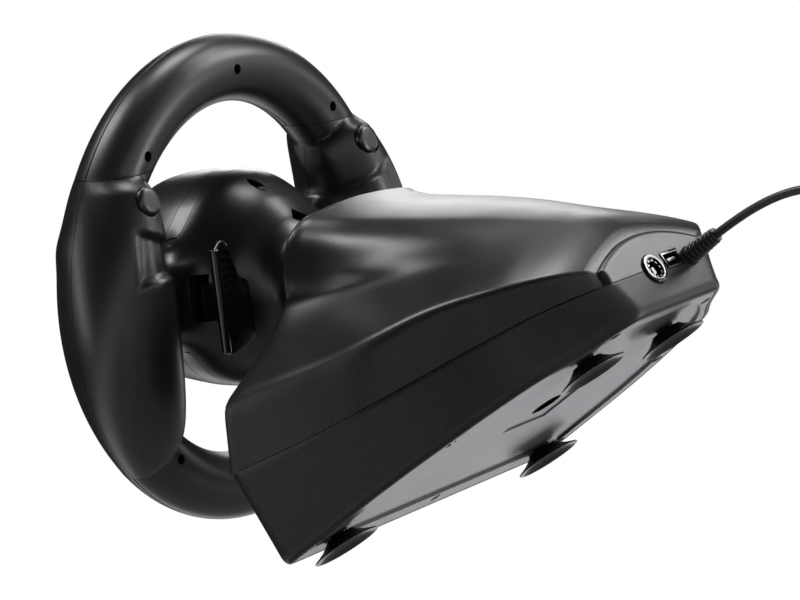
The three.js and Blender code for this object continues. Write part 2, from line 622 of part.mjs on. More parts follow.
function paddle(side) {
  const mirrored = (points) => points.map(([x, z]) => new THREE.Vector2(side * x, z));
  const blade = solid(new THREE.ExtrudeGeometry(new THREE.Shape(mirrored(bladeOutline)),
    { depth: bladeThickness, bevelEnabled: false }).rotateX(Math.PI / 2).translate(0, bladeY + bladeThickness, 0));
  const [low, high] = [[69.8, -26], [72.6, 30]].map(([x, z]) => new THREE.Vector3(side * x, bladeY, z));
  const bar = solid(new THREE.ExtrudeGeometry(roundSection(edgeBarRadius, 10),
    { steps: 1, extrudePath: new THREE.LineCurve3(low, high), bevelEnabled: false }));
  const half = armThickness / 2;
  const strip = [...armLine.map(([x, y], i) => [x + (i > 1 ? half : 0), y - half]),
    ...armLine.map(([x, y], i) => [x - (i > 1 ? half : 0), y + (i > 1 ? 0 : half)]).reverse()];
  const arm = solid(new THREE.ExtrudeGeometry(new THREE.Shape(mirrored(strip)),
    { depth: 2 * armHalfHeight, bevelEnabled: false }).translate(0, 0, -armHalfHeight));
  const barrel = solid(rod(3, -armHalfHeight, armHalfHeight, 12)).translate([side * paddlePivot[0], paddlePivot[1], 0]);
  return [bar, arm, barrel].reduce((body, piece) => body.add(piece), blade);
}

const motorCentre = [103.4, -27.7];
const motorRadius = 12;
const motorSpan = [-10, 14];
const motorShaftRadius = 1.2;
for (const [word, side] of [['right', 1], ['left', -1]]) {
  place(wheel, `${word}_paddle`, gloss, paddle(side));
  place(wheel, `${word}_back_button`, gloss, backButtonSolid(backButton.radius, -7, 2, side));
  const at = [side * motorCentre[0], 0, motorCentre[1]];
  const [front, rear] = motorSpan;
  place(wheel, `${word}_rumble_motor`, steel,
    solid(rodY(motorRadius, front, rear, 16)).add(solid(rodY(motorShaftRadius, rear - 1, rear + 7, 8))).translate(at));
  const weightRadius = 8.5;
  const half = Array.from({ length: 9 }, (_, k) => new THREE.Vector2(
    weightRadius * Math.cos((Math.PI * (k + 8)) / 8), weightRadius * Math.sin((Math.PI * (k + 8)) / 8)));
  const shape = new THREE.Shape([...half, new THREE.Vector2(3, 3), new THREE.Vector2(-3, 3)]);
  const weight = solid(new THREE.ExtrudeGeometry(shape, { depth: 4, bevelEnabled: false })
    .rotateX(Math.PI / 2).translate(0, rear + 5.5, 0))
    .subtract(solid(rodY(motorShaftRadius + gap, rear, rear + 9, 8)));
  place(wheel, `${word}_rumble_weight`, steel, weight.translate(at));
}

export default model;
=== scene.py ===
"""Looks for a desktop racing wheel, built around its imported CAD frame."""
import math
import bpy
import bmesh
import numpy as np
from mathutils import Matrix, Vector


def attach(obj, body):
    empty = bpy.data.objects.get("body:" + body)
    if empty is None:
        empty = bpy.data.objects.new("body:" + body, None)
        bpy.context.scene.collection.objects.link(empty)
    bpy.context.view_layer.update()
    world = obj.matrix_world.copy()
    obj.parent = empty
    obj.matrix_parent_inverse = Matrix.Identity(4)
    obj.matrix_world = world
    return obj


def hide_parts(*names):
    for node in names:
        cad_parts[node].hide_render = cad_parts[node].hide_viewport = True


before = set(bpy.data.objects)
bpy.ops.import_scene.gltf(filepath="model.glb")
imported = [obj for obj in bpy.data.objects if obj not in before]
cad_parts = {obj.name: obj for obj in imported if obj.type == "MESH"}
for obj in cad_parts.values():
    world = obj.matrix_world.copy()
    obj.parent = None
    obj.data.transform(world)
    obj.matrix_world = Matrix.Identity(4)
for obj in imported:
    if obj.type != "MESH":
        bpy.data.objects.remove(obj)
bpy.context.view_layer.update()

# ---- Driving dimensions, in millimetres unless a name says otherwise ------------------------
MM = 0.001
TILT = math.radians(34.6)                  # the steering shaft falls towards the rear
BASE = Matrix.Translation((0, -33.5, 0))   # base parts are laid out from the front cups
WHEEL = Matrix.Translation((0, -78.7, 175.9)) @ Matrix.Rotation(-TILT, 4, "X")
GAP = 0.3
WALL = 2.4
MERGE = 0.001                              # points closer than this are one point

RIM_RADIUS, RIM_TUBE = 116.2, 18.8
GRIP_START, GRIP_END = 51.0, 132.5         # degrees from the top of the wheel
GRIP_SEAM = 74.0                           # level seam between the top arc and the grips
SPOKE_SEAM = 76.0
COWL_PLANE = 87.5                          # front of the base, square to the shaft
REAR_Y = 195.0
PORT_Z = 28.5
PEDAL_X, SHIFTER_X, CABLE_X = 6.0, -13.0, -29.0
SHIFTER_Z = PORT_Z + 2
PLATE_BOTTOM = 7.2
CABLE_RADIUS = 2.3
COIL_RADIUS = 25.0
COIL_CENTRE_Y = 330.0


# ---- Camera, floor and light ----------------------------------------------------------------
def add_camera(target, azimuth, elevation, roll, distance, lens):
    """A camera looking at target; azimuth 0 looks along +Y and 90 along -X."""
    az, el, turn = (math.radians(a) for a in (azimuth, elevation, roll))
    ahead = Vector((-math.sin(az) * math.cos(el), math.cos(az) * math.cos(el), -math.sin(el)))
    level_up = (Vector((0, 0, 1)) - ahead * ahead.z).normalized()
    side = ahead.cross(level_up)
    up = level_up * math.cos(turn) + side * math.sin(turn)
    axes = Matrix((ahead.cross(up), up, -ahead)).transposed().to_4x4()
    data = bpy.data.cameras.new("camera")
    data.lens, data.sensor_width, data.clip_end = lens, 36, 20
    made = link_object("camera", data)
    made.matrix_world = Matrix.Translation(Vector(target) - ahead * distance) @ axes
    bpy.context.scene.camera = made


def add_area(name, at, aim, size, power, size_y=None):
    """A soft box light: places and sizes in metres, power in watts."""
    data = bpy.data.lights.new(name, "AREA")
    data.energy, data.size = power, size
    if size_y:
        data.shape, data.size_y = "RECTANGLE", size_y
    made = link_object(name, data)
    made.location = at
    made.rotation_euler = (Vector(aim) - Vector(at)).to_track_quat("-Z", "Y").to_euler()
    made.visible_camera = False


def nodes_of(tree):
    tree.nodes.clear()
    return tree.nodes, tree.links


def add_node(nodes, kind, settings=()):
    made = nodes.new("ShaderNode" + kind)
    for name, value in dict(settings).items():
        made.inputs[name].default_value = value
    return made


def new_material(name):
    made = bpy.data.materials.new(name)
    made.use_nodes = True
    return made, *nodes_of(made.node_tree)


def link_object(name, data):
    made = bpy.data.objects.new(name, data)
    bpy.context.scene.collection.objects.link(made)
    return made


WHITE, PALE = (1, 1, 1, 1), (0.86, 0.86, 0.86, 1)
AMBIENT_RAMP = [(0.33, 0.3), (0.37, 1.5), (0.44, 1.3), (0.475, 0.03)]   # 0 is down, 1 is up
AMBIENT_BELOW, AMBIENT_ABOVE = 0.3, 0.03
FLOOR_HALF, FLOOR_DROP, FLOOR_GLOW = 2.5, 0.0005, 0.45


def sky():
    """White to the camera; to everything else an ambient light that changes with height."""
    world = bpy.data.worlds.new("studio")
    bpy.context.scene.world = world
    world.use_nodes = True
    nodes, links = nodes_of(world.node_tree)
    out = add_node(nodes, "OutputWorld")
    seen = add_node(nodes, "Background", {"Color": WHITE, "Strength": 1.0})
    ambient = add_node(nodes, "Background", {"Color": (0.95, 0.97, 1.0, 1)})
    way, split = add_node(nodes, "TexCoord"), add_node(nodes, "SeparateXYZ")
    links.new(way.outputs["Generated"], split.inputs[0])
    glow = add_node(nodes, "ValToRGB")
    ends = glow.color_ramp.elements
    ends[0].position, ends[0].color = 0.0, (*[AMBIENT_BELOW] * 3, 1)
    ends[1].position, ends[1].color = 1.0, (*[AMBIENT_ABOVE] * 3, 1)
    for position, level in AMBIENT_RAMP:
        ends.new(position).color = (level, level, level, 1)
    turn = add_node(nodes, "MapRange", {"From Min": -1})
    links.new(split.outputs["Z"], turn.inputs["Value"])
    links.new(turn.outputs[0], glow.inputs["Fac"])
    links.new(glow.outputs["Color"], ambient.inputs["Strength"])
    path, mix = add_node(nodes, "LightPath"), add_node(nodes, "MixShader")
    links.new(path.outputs["Is Camera Ray"], mix.inputs[0])
    links.new(ambient.outputs[0], mix.inputs[1])
    links.new(seen.outputs[0], mix.inputs[2])
    links.new(mix.outputs[0], out.inputs[0])


def add_floor():
    """A pale floor that the camera sees only from above, and that blocks no light."""
    material, nodes, links = new_material("floor")
    out = add_node(nodes, "OutputMaterial")
    pale = add_node(nodes, "BsdfDiffuse", {"Color": PALE})
    own, lit = add_node(nodes, "Emission", {"Color": PALE}), add_node(nodes, "MixShader")
    lit.inputs[0].default_value = FLOOR_GLOW
    links.new(pale.outputs[0], lit.inputs[1])
    links.new(own.outputs[0], lit.inputs[2])
    clear, side = add_node(nodes, "BsdfTransparent"), add_node(nodes, "NewGeometry")
    path, shown = add_node(nodes, "LightPath"), add_node(nodes, "Math")
    shown.operation, shown.use_clamp = "SUBTRACT", True
    links.new(path.outputs["Is Camera Ray"], shown.inputs[0])
    links.new(side.outputs["Backfacing"], shown.inputs[1])
    mix = add_node(nodes, "MixShader")
    links.new(shown.outputs[0], mix.inputs[0])
    links.new(clear.outputs[0], mix.inputs[1])
    links.new(lit.outputs[0], mix.inputs[2])
    links.new(mix.outputs[0], out.inputs[0])
    data = bpy.data.meshes.new("floor")
    half = FLOOR_HALF
    data.from_pydata([(-half, -half, 0), (half, -half, 0), (half, half, 0), (-half, half, 0)],
                     [], [(0, 1, 2, 3)])
    data.materials.append(material)
    floor = link_object("floor", data)
    floor.location.z = -FLOOR_DROP


bpy.context.scene.view_settings.view_transform = "Standard"
add_camera(target=(-0.00446, 0.00729, 0.10444), azimuth=126.904, elevation=-10.319,
           roll=32.783, distance=1.97863, lens=165.27)
sky()
add_floor()
add_area("overhead", (0.35, 0.1, 1.8), (0, 0.05, 0.1), 0.9, 16, 0.6)
add_area("left_tall", (1.3, -1.05, 1.0), (0, -0.1, 0.17), 0.2, 6, 1.4)
add_area("behind", (-1.6, -0.6, 1.15), (0, 0.08, 0.1), 0.9, 6, 0.5)
add_area("rear_side", (-1.6, 1.25, 0.45), (0, 0.16, 0.03), 0.5, 6)
add_area("rear_high", (-0.75, 0.7, 1.7), (0, 0.1, 0.1), 0.6, 12)
add_area("rear_low", (-0.95, 1.35, -1.0), (0, 0, 0.15), 0.12, 16, 1.4)
add_area("rear_tall", (-1.5, 1.5, 0.9), (0, -0.1, 0.17), 0.2, 17, 1.3)


# ---- Materials ------------------------------------------------------------------------------
def plastic(name, color, rough, grain=0.0, grain_size=0.5, coat=0.0, sparkle=0.0, mottle=0.15,
            shine=0.5, metallic=0.0):
    """Moulded plastic: fine grain as bump, with slow changes of tone and gloss.

    grain is the bump's depth and grain_size its pitch, both in millimetres."""
    made, nodes, links = new_material(name)
    out = add_node(nodes, "OutputMaterial")
    skin = add_node(nodes, "BsdfPrincipled", {
        "Coat Weight": coat, "Coat Roughness": 0.08, "Specular IOR Level": shine,
        "Metallic": metallic})
    links.new(skin.outputs[0], out.inputs[0])
    place = add_node(nodes, "TexCoord")
    cloud = add_node(nodes, "TexNoise", {"Scale": 35, "Detail": 4})
    links.new(place.outputs["Object"], cloud.inputs["Vector"])
    tone = nodes.new("ShaderNodeMix")
    tone.data_type = "RGBA"
    tone.inputs["A"].default_value = (*[c * (1 - mottle) for c in color], 1)
    tone.inputs["B"].default_value = (*[c * (1 + mottle) for c in color], 1)
    links.new(cloud.outputs["Fac"], tone.inputs["Factor"])
    sheen = add_node(nodes, "MapRange", {"To Min": rough * 0.9, "To Max": min(1, rough * 1.1)})
    links.new(cloud.outputs["Fac"], sheen.inputs["Value"])
    links.new(sheen.outputs[0], skin.inputs["Roughness"])
    color_out = tone.outputs["Result"]
    if grain:
        fine = add_node(nodes, "TexNoise", {
            "Scale": 1 / (grain_size * MM), "Detail": 2, "Roughness": 0.6})
        links.new(place.outputs["Object"], fine.inputs["Vector"])
        bump = add_node(nodes, "Bump", {"Distance": grain * MM, "Strength": 1.0})
        links.new(fine.outputs["Fac"], bump.inputs["Height"])
        links.new(bump.outputs[0], skin.inputs["Normal"])
        # sparkle paints lighter colour on the grain's peaks: painted glints, not a tone of the
        # plastic.
        if sparkle:
            painted_glints = nodes.new("ShaderNodeMix")
            painted_glints.data_type = "RGBA"
            links.new(color_out, painted_glints.inputs["A"])
            painted_glints.inputs["B"].default_value = (*[min(1, c * (1 + sparkle)) for c in color], 1)
            glint_mask = add_node(nodes, "MapRange", {"From Min": 0.55, "From Max": 0.7})
            links.new(fine.outputs["Fac"], glint_mask.inputs["Value"])
            links.new(glint_mask.outputs[0], painted_glints.inputs["Factor"])
            color_out = painted_glints.outputs["Result"]
    links.new(color_out, skin.inputs["Base Color"])
    return made


def metal(name, color, rough, brushed=0.0):
    return plastic(name, color, rough, brushed, 0.25, mottle=0.05, metallic=1.0)


satin = plastic("satin_shell", (0.0085, 0.0085, 0.0090), 0.33, 0.055, 0.7, sparkle=0.8)
smooth_satin = plastic("smooth_satin", (0.0085, 0.0085, 0.0090), 0.30, 0.03, 0.6)
trim_plastic = plastic("trim_plastic", (0.006, 0.006, 0.0065), 0.30, coat=0.1)
grained = plastic("grained_shell", (0.0060, 0.0060, 0.0064), 0.40, 0.13, 0.85, sparkle=2.5,
                  shine=0.36)
gloss = plastic("gloss_plastic", (0.006, 0.006, 0.0065), 0.18, coat=0.5)
# The underside's light grey is painted sheen: black plastic coloured as if lit by light reflected
# from below.
underside_painted_sheen = plastic("underside_plastic", (0.075, 0.075, 0.077), 0.30, 0.03, 0.5)
vinyl = plastic("cup_vinyl", (0.004, 0.004, 0.0045), 0.22, shine=0.18)
sheath = plastic("cable_sheath", (0.014, 0.014, 0.015), 0.38, 0.02, 0.4)
screw_steel = metal("plated_screw", (0.30, 0.30, 0.31), 0.32, 0.01)
bright_steel = metal("bright_steel", (0.62, 0.62, 0.64), 0.22, 0.01)
nylon = plastic("nylon", (0.60, 0.58, 0.52), 0.5, 0.02, 0.6)
mask = plastic("solder_mask", (0.03, 0.16, 0.07), 0.3, 0.02, 2.0, coat=0.4)
gold = metal("contact_gold", (0.80, 0.58, 0.22), 0.28)


# ---- Mesh tools -----------------------------------------------------------------------------
def bmesh_from(points, faces):
    bm = bmesh.new()
    verts = [bm.verts.new(p) for p in points]
    for face in faces:
        corners = [verts[i] for i in dict.fromkeys(face)]
        if len(corners) > 2:
            bm.faces.new(corners)
    return bm


def strip_faces(rows, count):
    """Quads between closed rows of equal length."""
    return [(r * count + k, r * count + (k + 1) % count,
             (r + 1) * count + (k + 1) % count, (r + 1) * count + k)
            for r in range(rows - 1) for k in range(count)]


def capped_faces(rows, count):
    """The same, with a flat face over the first row and the last."""
    return strip_faces(rows, count) + [
        tuple(range(count)), tuple(range((rows - 1) * count, rows * count))]


def tidy_mesh(bm):
    bmesh.ops.remove_doubles(bm, verts=bm.verts, dist=MERGE)
    bmesh.ops.recalc_face_normals(bm, faces=bm.faces)
    return bm


def object_from(name, bm, sharp=38):
    data = bpy.data.meshes.new(name)
    bm.to_mesh(data)
    bm.free()
    data.shade_smooth()
    data.set_sharp_from_angle(angle=math.radians(sharp))
    return link_object(name, data)


def apply_modifiers(obj):
    graph = bpy.context.evaluated_depsgraph_get()
    data = bpy.data.meshes.new_from_object(obj.evaluated_get(graph))
    old = obj.data
    obj.modifiers.clear()
    obj.data = data
    data.name = old.name
    bpy.data.meshes.remove(old)
    return obj


def cut(obj, tools, operation="DIFFERENCE", sharp=38):
    """Boolean with closed meshes given as bmeshes; the tools don't touch each other."""
    joined = bmesh.new()
    for tool in tools:
        piece = bpy.data.meshes.new("tool")
        tool.to_mesh(piece)
        tool.free()
        joined.from_mesh(piece)
        bpy.data.meshes.remove(piece)
    tool = object_from("tool", joined)
    step = obj.modifiers.new("cut", "BOOLEAN")
    step.object, step.operation, step.solver = tool, operation, "EXACT"
    apply_modifiers(obj)
    data = tool.data
    bpy.data.objects.remove(tool)
    bpy.data.meshes.remove(data)
    obj.data.set_sharp_from_angle(angle=math.radians(sharp))
    return obj


def finish_piece(obj, place, body, nodes, material):
    """Puts a piece made in millimetres where it belongs and ties it to the frame."""
    obj.data.transform(Matrix.Scale(MM, 4) @ place)
    if not obj.data.materials:
        obj.data.materials.append(material)
    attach(obj, body)
    if nodes:
        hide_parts(*nodes)
    return obj


def outline_prism(outline, low, high, axis="Z"):
    """A closed prism over an outline, along Z, or along Y with the outline in X and Z."""
    def at(p, level):
        return (p[0], p[1], level) if axis == "Z" else (p[0], level, p[1])
    count = len(outline)
    points = [at(p, low) for p in outline] + [at(p, high) for p in outline]
    return tidy_mesh(bmesh_from(points, capped_faces(2, count)))


def box_tool(low, high):
    outline = [(low[0], low[1]), (high[0], low[1]), (high[0], high[1]), (low[0], high[1])]
    return outline_prism(outline, low[2], high[2])


def turned(profile, segments, axis="Z", at=(0, 0, 0), lean=None):
    """A closed turned solid from [radius, height] rows that start and end on the axis."""
    points = []
    for radius, height in profile:
        for k in range(segments):
            turn = 2 * math.pi * k / segments
            points.append((radius * math.cos(turn), radius * math.sin(turn), height))
    bm = tidy_mesh(bmesh_from(points, strip_faces(len(profile), segments)))
    turn = Matrix.Rotation(-math.pi / 2, 4, "X") if axis == "Y" else Matrix.Identity(4)
    if lean is not None:
        turn = lean @ turn
    bm.transform(Matrix.Translation(at) @ turn)
    return bm


def rounded(profile, radius, steps=4):
    """A profile with each inner corner rounded by an arc of about that radius."""
    done = [profile[0]]
    for before, corner, after in zip(profile, profile[1:], profile[2:]):
        here, a, b = np.array(corner, float), np.array(before, float), np.array(after, float)
        la, lb = np.linalg.norm(a - here), np.linalg.norm(b - here)
        if la < 1e-6 or lb < 1e-6:
            continue
        reach = min(radius, la * 0.45, lb * 0.45)
        p, q = here + (a - here) / la * reach, here + (b - here) / lb * reach
        for i in range(steps + 1):
            t = i / steps
            done.append(tuple((1 - t) ** 2 * p + 2 * t * (1 - t) * here + t ** 2 * q))
    done.append(profile[-1])
    return done


def rod(radius, low, high, segments, **place):
    return turned([(0, low), (radius, low), (radius, high), (0, high)], segments, **place)


def spline(keys, values, at):
    """Smooth curve through values at keys, with no overshoot past a flat stretch."""
    keys, values, at = (np.asarray(a, float) for a in (keys, values, at))
    step = np.diff(keys)
    slope = np.diff(values) / step
    tangent = np.empty_like(values)
    tangent[0], tangent[-1] = slope[0], slope[-1]
    blend = (slope[:-1] * step[1:] + slope[1:] * step[:-1]) / (step[:-1] + step[1:])
    limit = 3 * np.minimum(np.abs(slope[:-1]), np.abs(slope[1:]))
    same_way = slope[:-1] * slope[1:] > 0
    tangent[1:-1] = np.where(same_way, np.clip(blend, -limit, limit), 0)
    i = np.clip(np.searchsorted(keys, at) - 1, 0, len(step) - 1)
    t = (at - keys[i]) / step[i]
    a, b = values[i], values[i + 1]
    ta, tb = tangent[i] * step[i], tangent[i + 1] * step[i]
    return ((2 * t ** 3 - 3 * t ** 2 + 1) * a + (t ** 3 - 2 * t ** 2 + t) * ta
            + (3 * t ** 2 - 2 * t ** 3) * b + (t ** 3 - t ** 2) * tb)


# ---- Surfaces from fields -------------------------------------------------------------------
def smooth_min(a, b, reach):
    h = np.clip(0.5 + 0.5 * (b - a) / reach, 0, 1)
    return b + (a - b) * h - reach * h * (1 - h)


def smooth_step(value, low, high):
    t = np.clip((value - low) / (high - low), 0, 1)
    return t * t * (3 - 2 * t)


def field_mesh(field, low, high, step):
    """A closed mesh where field is below zero, relaxed along the surface."""
    axes = [np.arange(a, b + step, step) for a, b in zip(low, high)]
    grid = np.meshgrid(*axes, indexing="ij")
    inside = field(*grid) < 0
    for axis in range(3):
        edge = [slice(None)] * 3
        edge[axis] = [0, -1]
        inside[tuple(edge)] = False
    total = np.zeros([n - 1 for n in inside.shape], int)
    for i in (0, 1):
        for j in (0, 1):
            for k in (0, 1):
                total += inside[i:i - 1 or None, j:j - 1 or None, k:k - 1 or None]
    active = (total > 0) & (total < 8)
    ids = np.full(active.shape, -1)
    ids[active] = np.arange(active.sum())
    cells = np.argwhere(active)
    points = np.array(low, float) + (cells + 0.5) * step
    quads = []
    for axis in range(3):
        state, cell = np.moveaxis(inside, axis, 0), np.moveaxis(ids, axis, 0)
        here, there = state[:-1, 1:-1, 1:-1], state[1:, 1:-1, 1:-1]
        i, j, k = np.nonzero(here != there)
        ring = np.stack([cell[i, j, k], cell[i, j + 1, k],
                         cell[i, j + 1, k + 1], cell[i, j, k + 1]], 1)
        turned_in = here[i, j, k] ^ (axis == 1)
        quads.append(np.where(turned_in[:, None], ring, ring[:, ::-1]))
    quads = np.concatenate(quads)
    ends = np.concatenate([quads[:, [a, (a + 1) % 4]] for a in range(4)])
    count = np.bincount(ends[:, 0], minlength=len(points)).astype(float)
    count += np.bincount(ends[:, 1], minlength=len(points))
    low, high = np.array(low) + step * 0.5, np.array([a[-1] for a in axes]) - step * 0.5
    for turn in range(6):
        mean = np.stack([
            np.bincount(ends[:, 0], points[ends[:, 1], c], len(points))
            + np.bincount(ends[:, 1], points[ends[:, 0], c], len(points)) for c in range(3)], 1)
        points = points * 0.4 + mean / count[:, None] * 0.6
        for _ in range(2 if turn < 5 else 4):
            value = field(*points.T)
            nudge = 0.02
            slope = np.stack([
                (field(*(points + nudge * np.eye(3)[c]).T) - value) / nudge for c in range(3)], 1)
            size = np.maximum((slope ** 2).sum(1), 0.05)
            move = -value[:, None] * slope / size[:, None]
            points = points + np.clip(move, -step, step)
        points = np.clip(points, low, high)
    return points, quads


def field_object(name, field, low, high, step):
    points, quads = field_mesh(field, low, high, step)
    data = bpy.data.meshes.new(name)
    data.from_pydata(points.tolist(), [], quads.tolist())
    data.validate()
    data.shade_smooth()
    return link_object(name, data)


def slice_off(obj, point, normal):
    """Removes what lies on the normal's side of a plane and closes the cut."""
    bm = bmesh.new()
    bm.from_mesh(obj.data)
    everything = bm.verts[:] + bm.edges[:] + bm.faces[:]
    made = bmesh.ops.bisect_plane(bm, geom=everything, plane_co=point, plane_no=normal,
                                  dist=1e-5, clear_outer=True)
    rim = [e for e in made["geom_cut"] if isinstance(e, bmesh.types.BMEdge) and e.is_boundary]
    bmesh.ops.triangle_fill(bm, edges=rim, use_beauty=True, normal=normal)
    bm.to_mesh(obj.data)
    bm.free()
    return obj


def copy_of(obj, name, mirrored=False):
    made = link_object(name, obj.data.copy())
    if mirrored:
        made.data.transform(Matrix.Scale(-1, 4, (1, 0, 0)))
        made.data.flip_normals()
    return made


def largest_part(obj):
    bm = bmesh.new()
    bm.from_mesh(obj.data)
    bm.verts.ensure_lookup_table()
    part = [-1] * len(bm.verts)
    sizes = []
    for start in bm.verts:
        if part[start.index] >= 0:
            continue
        stack, size = [start], 0
        part[start.index] = len(sizes)
        while stack:
            here = stack.pop()
            size += 1
            for edge in here.link_edges:
                other = edge.other_vert(here)
                if part[other.index] < 0:
                    part[other.index] = len(sizes)
                    stack.append(other)
        sizes.append(size)
    keep = sizes.index(max(sizes))
    spare = [v for v in bm.verts if part[v.index] != keep]
    bmesh.ops.delete(bm, geom=spare, context="VERTS")
    bm.to_mesh(obj.data)
    bm.free()
    return obj


# ---- Cord -----------------------------------------------------------------------------------
BOOT_LENGTH = 21
ROUTE = [(CABLE_X, y, z) for y, z in (
    (REAR_Y, PORT_Z), (206, PORT_Z), (REAR_Y + BOOT_LENGTH, PORT_Z), (226, PORT_Z - 0.3),
    (238, PORT_Z - 1), (250, PORT_Z - 2.6), (262, PORT_Z - 5.4), (273, PORT_Z - 9.6),
    (282, PORT_Z - 14.8), (290, PORT_Z - 20), (297.5, CABLE_RADIUS + 2.2),
    (304.5, CABLE_RADIUS + 0.3), (311.4, CABLE_RADIUS), (321, CABLE_RADIUS))]
COIL_TURNS, LAYER_TURNS, POINTS_PER_TURN = 10, 2.5, 20
CLIMB_TURNS = 0.25                         # the climb from one layer to the next
COIL_X = CABLE_X - COIL_RADIUS - LAYER_TURNS * CABLE_RADIUS
COIL_HEIGHT = COIL_TURNS / LAYER_TURNS * 2 * CABLE_RADIUS
COIL_OUTER = COIL_RADIUS + 3.5 * CABLE_RADIUS + 0.4
COIL_INNER = COIL_RADIUS - 3.5 * CABLE_RADIUS - 0.4
PLUG_HALF, PLUG_LENGTH = 8, 22
PLUG_X = -COIL_OUTER - GAP - PLUG_HALF     # measured, like the tail, from the coil's middle
TAIL = [                                   # angle, radius and height of the loose outer turn
    (12, 31.2, 16.1), (24, 32.2, 16.1), (36, 33.4, 16.0), (48, 34.8, 15.6), (60, 36.0, 14.6),
    (72, 36.9, 13.2), (84, 37.6, 11.4), (96, 38.2, 9.6), (108, 39.2, 7.9), (120, 40.3, 6.4),
    (132, 41.4, 5.2), (144, 42.4, 4.5), (156, 43.1, 4.1), (166, 43.0, 4.0),
]


def coil_points():
    """Flat spirals stacked in layers, winding in and out by turns, a cord's width apart."""
    points = []
    pitch = 2 * CABLE_RADIUS
    swing = LAYER_TURNS * CABLE_RADIUS
    for k in range(int(COIL_TURNS * POINTS_PER_TURN)):
        turns = k / POINTS_PER_TURN
        layer = int(turns // LAYER_TURNS)
        through = turns - layer * LAYER_TURNS
        run = LAYER_TURNS - CLIMB_TURNS
        along = min(1, max(0, (through - CLIMB_TURNS / 2) / run))
        side = 1 - 2 * along if layer % 2 == 0 else 2 * along - 1
        climb = 0.0
        if through > LAYER_TURNS - CLIMB_TURNS / 2 and layer < 3:
            climb = (through - LAYER_TURNS) / CLIMB_TURNS + 0.5
        if through < CLIMB_TURNS / 2 and layer > 0:
            climb = through / CLIMB_TURNS - 0.5
        radius = COIL_RADIUS + swing * side
        turn = 2 * math.pi * turns
        points.append((COIL_X + radius * math.cos(turn), COIL_CENTRE_Y + radius * math.sin(turn),
                       CABLE_RADIUS + (layer + climb) * pitch))
    return points


def tail_points():
    points = []
    for angle, radius, height in TAIL:
        turn = math.radians(angle)
        points.append((COIL_X + radius * math.cos(turn), COIL_CENTRE_Y + radius * math.sin(turn),
                       height))
    points.append((COIL_X + PLUG_X, COIL_CENTRE_Y + 5, 4))
    points.append((COIL_X + PLUG_X, COIL_CENTRE_Y - 2, 4))
    return points


def add_cord():
    points = ROUTE + coil_points() + tail_points()
    curve = bpy.data.curves.new("usb_cord", "CURVE")
    curve.dimensions = "3D"
    curve.bevel_depth = CABLE_RADIUS * MM
    curve.bevel_resolution = 5
    curve.resolution_u = 4
    curve.use_fill_caps = True
    line = curve.splines.new("NURBS")
    line.points.add(len(points) - 1)
    line.order_u = 3
    line.use_endpoint_u = True
    for spot, p in zip(line.points, points):
        spot.co = (*(BASE @ Vector(p) * MM), 1)
    curve.materials.append(sheath)
    cord = link_object("usb_cord", curve)
    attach(cord, "base")
    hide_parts("usb_cable", "cable_coil")
    return cord, points


cord, cord_points = add_cord()


# ---- Wheel ----------------------------------------------------------------------------------
HUB_PROFILE = [                            # distance behind the rim's plane, and radius
    (-58, 36), (-50.5, 46), (-39, 53.6), (-26, 57.6), (-12, 59.6), (0, 60.5), (15, 59.3),
    (26, 54.7), (38, 47.5), (51, 36), (60, 32.5), (84, 32.5),
]
HUB_FRONT, HUB_END = -58, 84
SPOKE_HALF, SPOKE_LEVEL, SPOKE_CORNER = (100, 17, 27), 2, 12
SPOKE_BLEND, RIM_BLEND = 14.0, 10.0
HUB_HALF_HEIGHT = 62


def grip_fullness(angle, v):
    part = np.clip((angle - GRIP_START) / (GRIP_END - GRIP_START), 0, 1)
    return np.sin(np.pi * part) ** 0.6 * smooth_step(GRIP_SEAM + 1.5 - v, 0, 9)


def ring_field(u, s, v, detail):
    """Signed distance to the rim and grips, as far as rounding needs it."""
    radius, angle = np.hypot(u, v), np.degrees(np.arctan2(np.abs(u), v))
    full = grip_fullness(angle, v)
    across, deep = RIM_TUBE + 9.2 * full, RIM_TUBE + 15.8 * full
    a, b = radius - (RIM_RADIUS - 9 * full), s - 8 * full
    near = np.hypot(a / across, b / deep)
    slope = np.hypot(a / across ** 2, b / deep ** 2)
    value = near * (near - 1) / np.maximum(slope, 1e-6)
    if not detail:
        return value
    around = np.degrees(np.arctan2(b, a))
    edge = np.interp(around, [54, 74, 105], [82.5, 79.5, 77.5])
    channel = (smooth_step(angle, 65.5, 68.5) * (1 - smooth_step(angle, edge - 1.6, edge + 1.2))
               * smooth_step(around, 58, 76) * (1 - smooth_step(around, 120, 155)))
    value = value + 3.0 * channel
    ridge = np.interp(angle, [88, 92.5, 102.5, 114], [60, 59, 55, 41])
    shown = smooth_step(angle, 84, 94) * (1 - smooth_step(angle, 108, 122))
    value = value - 0.9 * shown * np.exp(-((around - ridge) / 10) ** 2)
    kink = np.exp(-((angle - 72.5) / 4.5) ** 2 - ((around + 51) / 28) ** 2)
    return value - 1.4 * kink


def hub_field(u, s, v):
    along, radius = zip(*HUB_PROFILE)
    side = np.hypot(u, v) - spline(along, radius, np.clip(s, along[0], along[-1]))
    side = side * np.where(s < -36, 0.72, np.where((s > 30) & (s < 56), 0.78, 0.97))
    ends = np.maximum(HUB_FRONT - s, s - HUB_END)
    return -smooth_min(-side, -ends, 5.0)


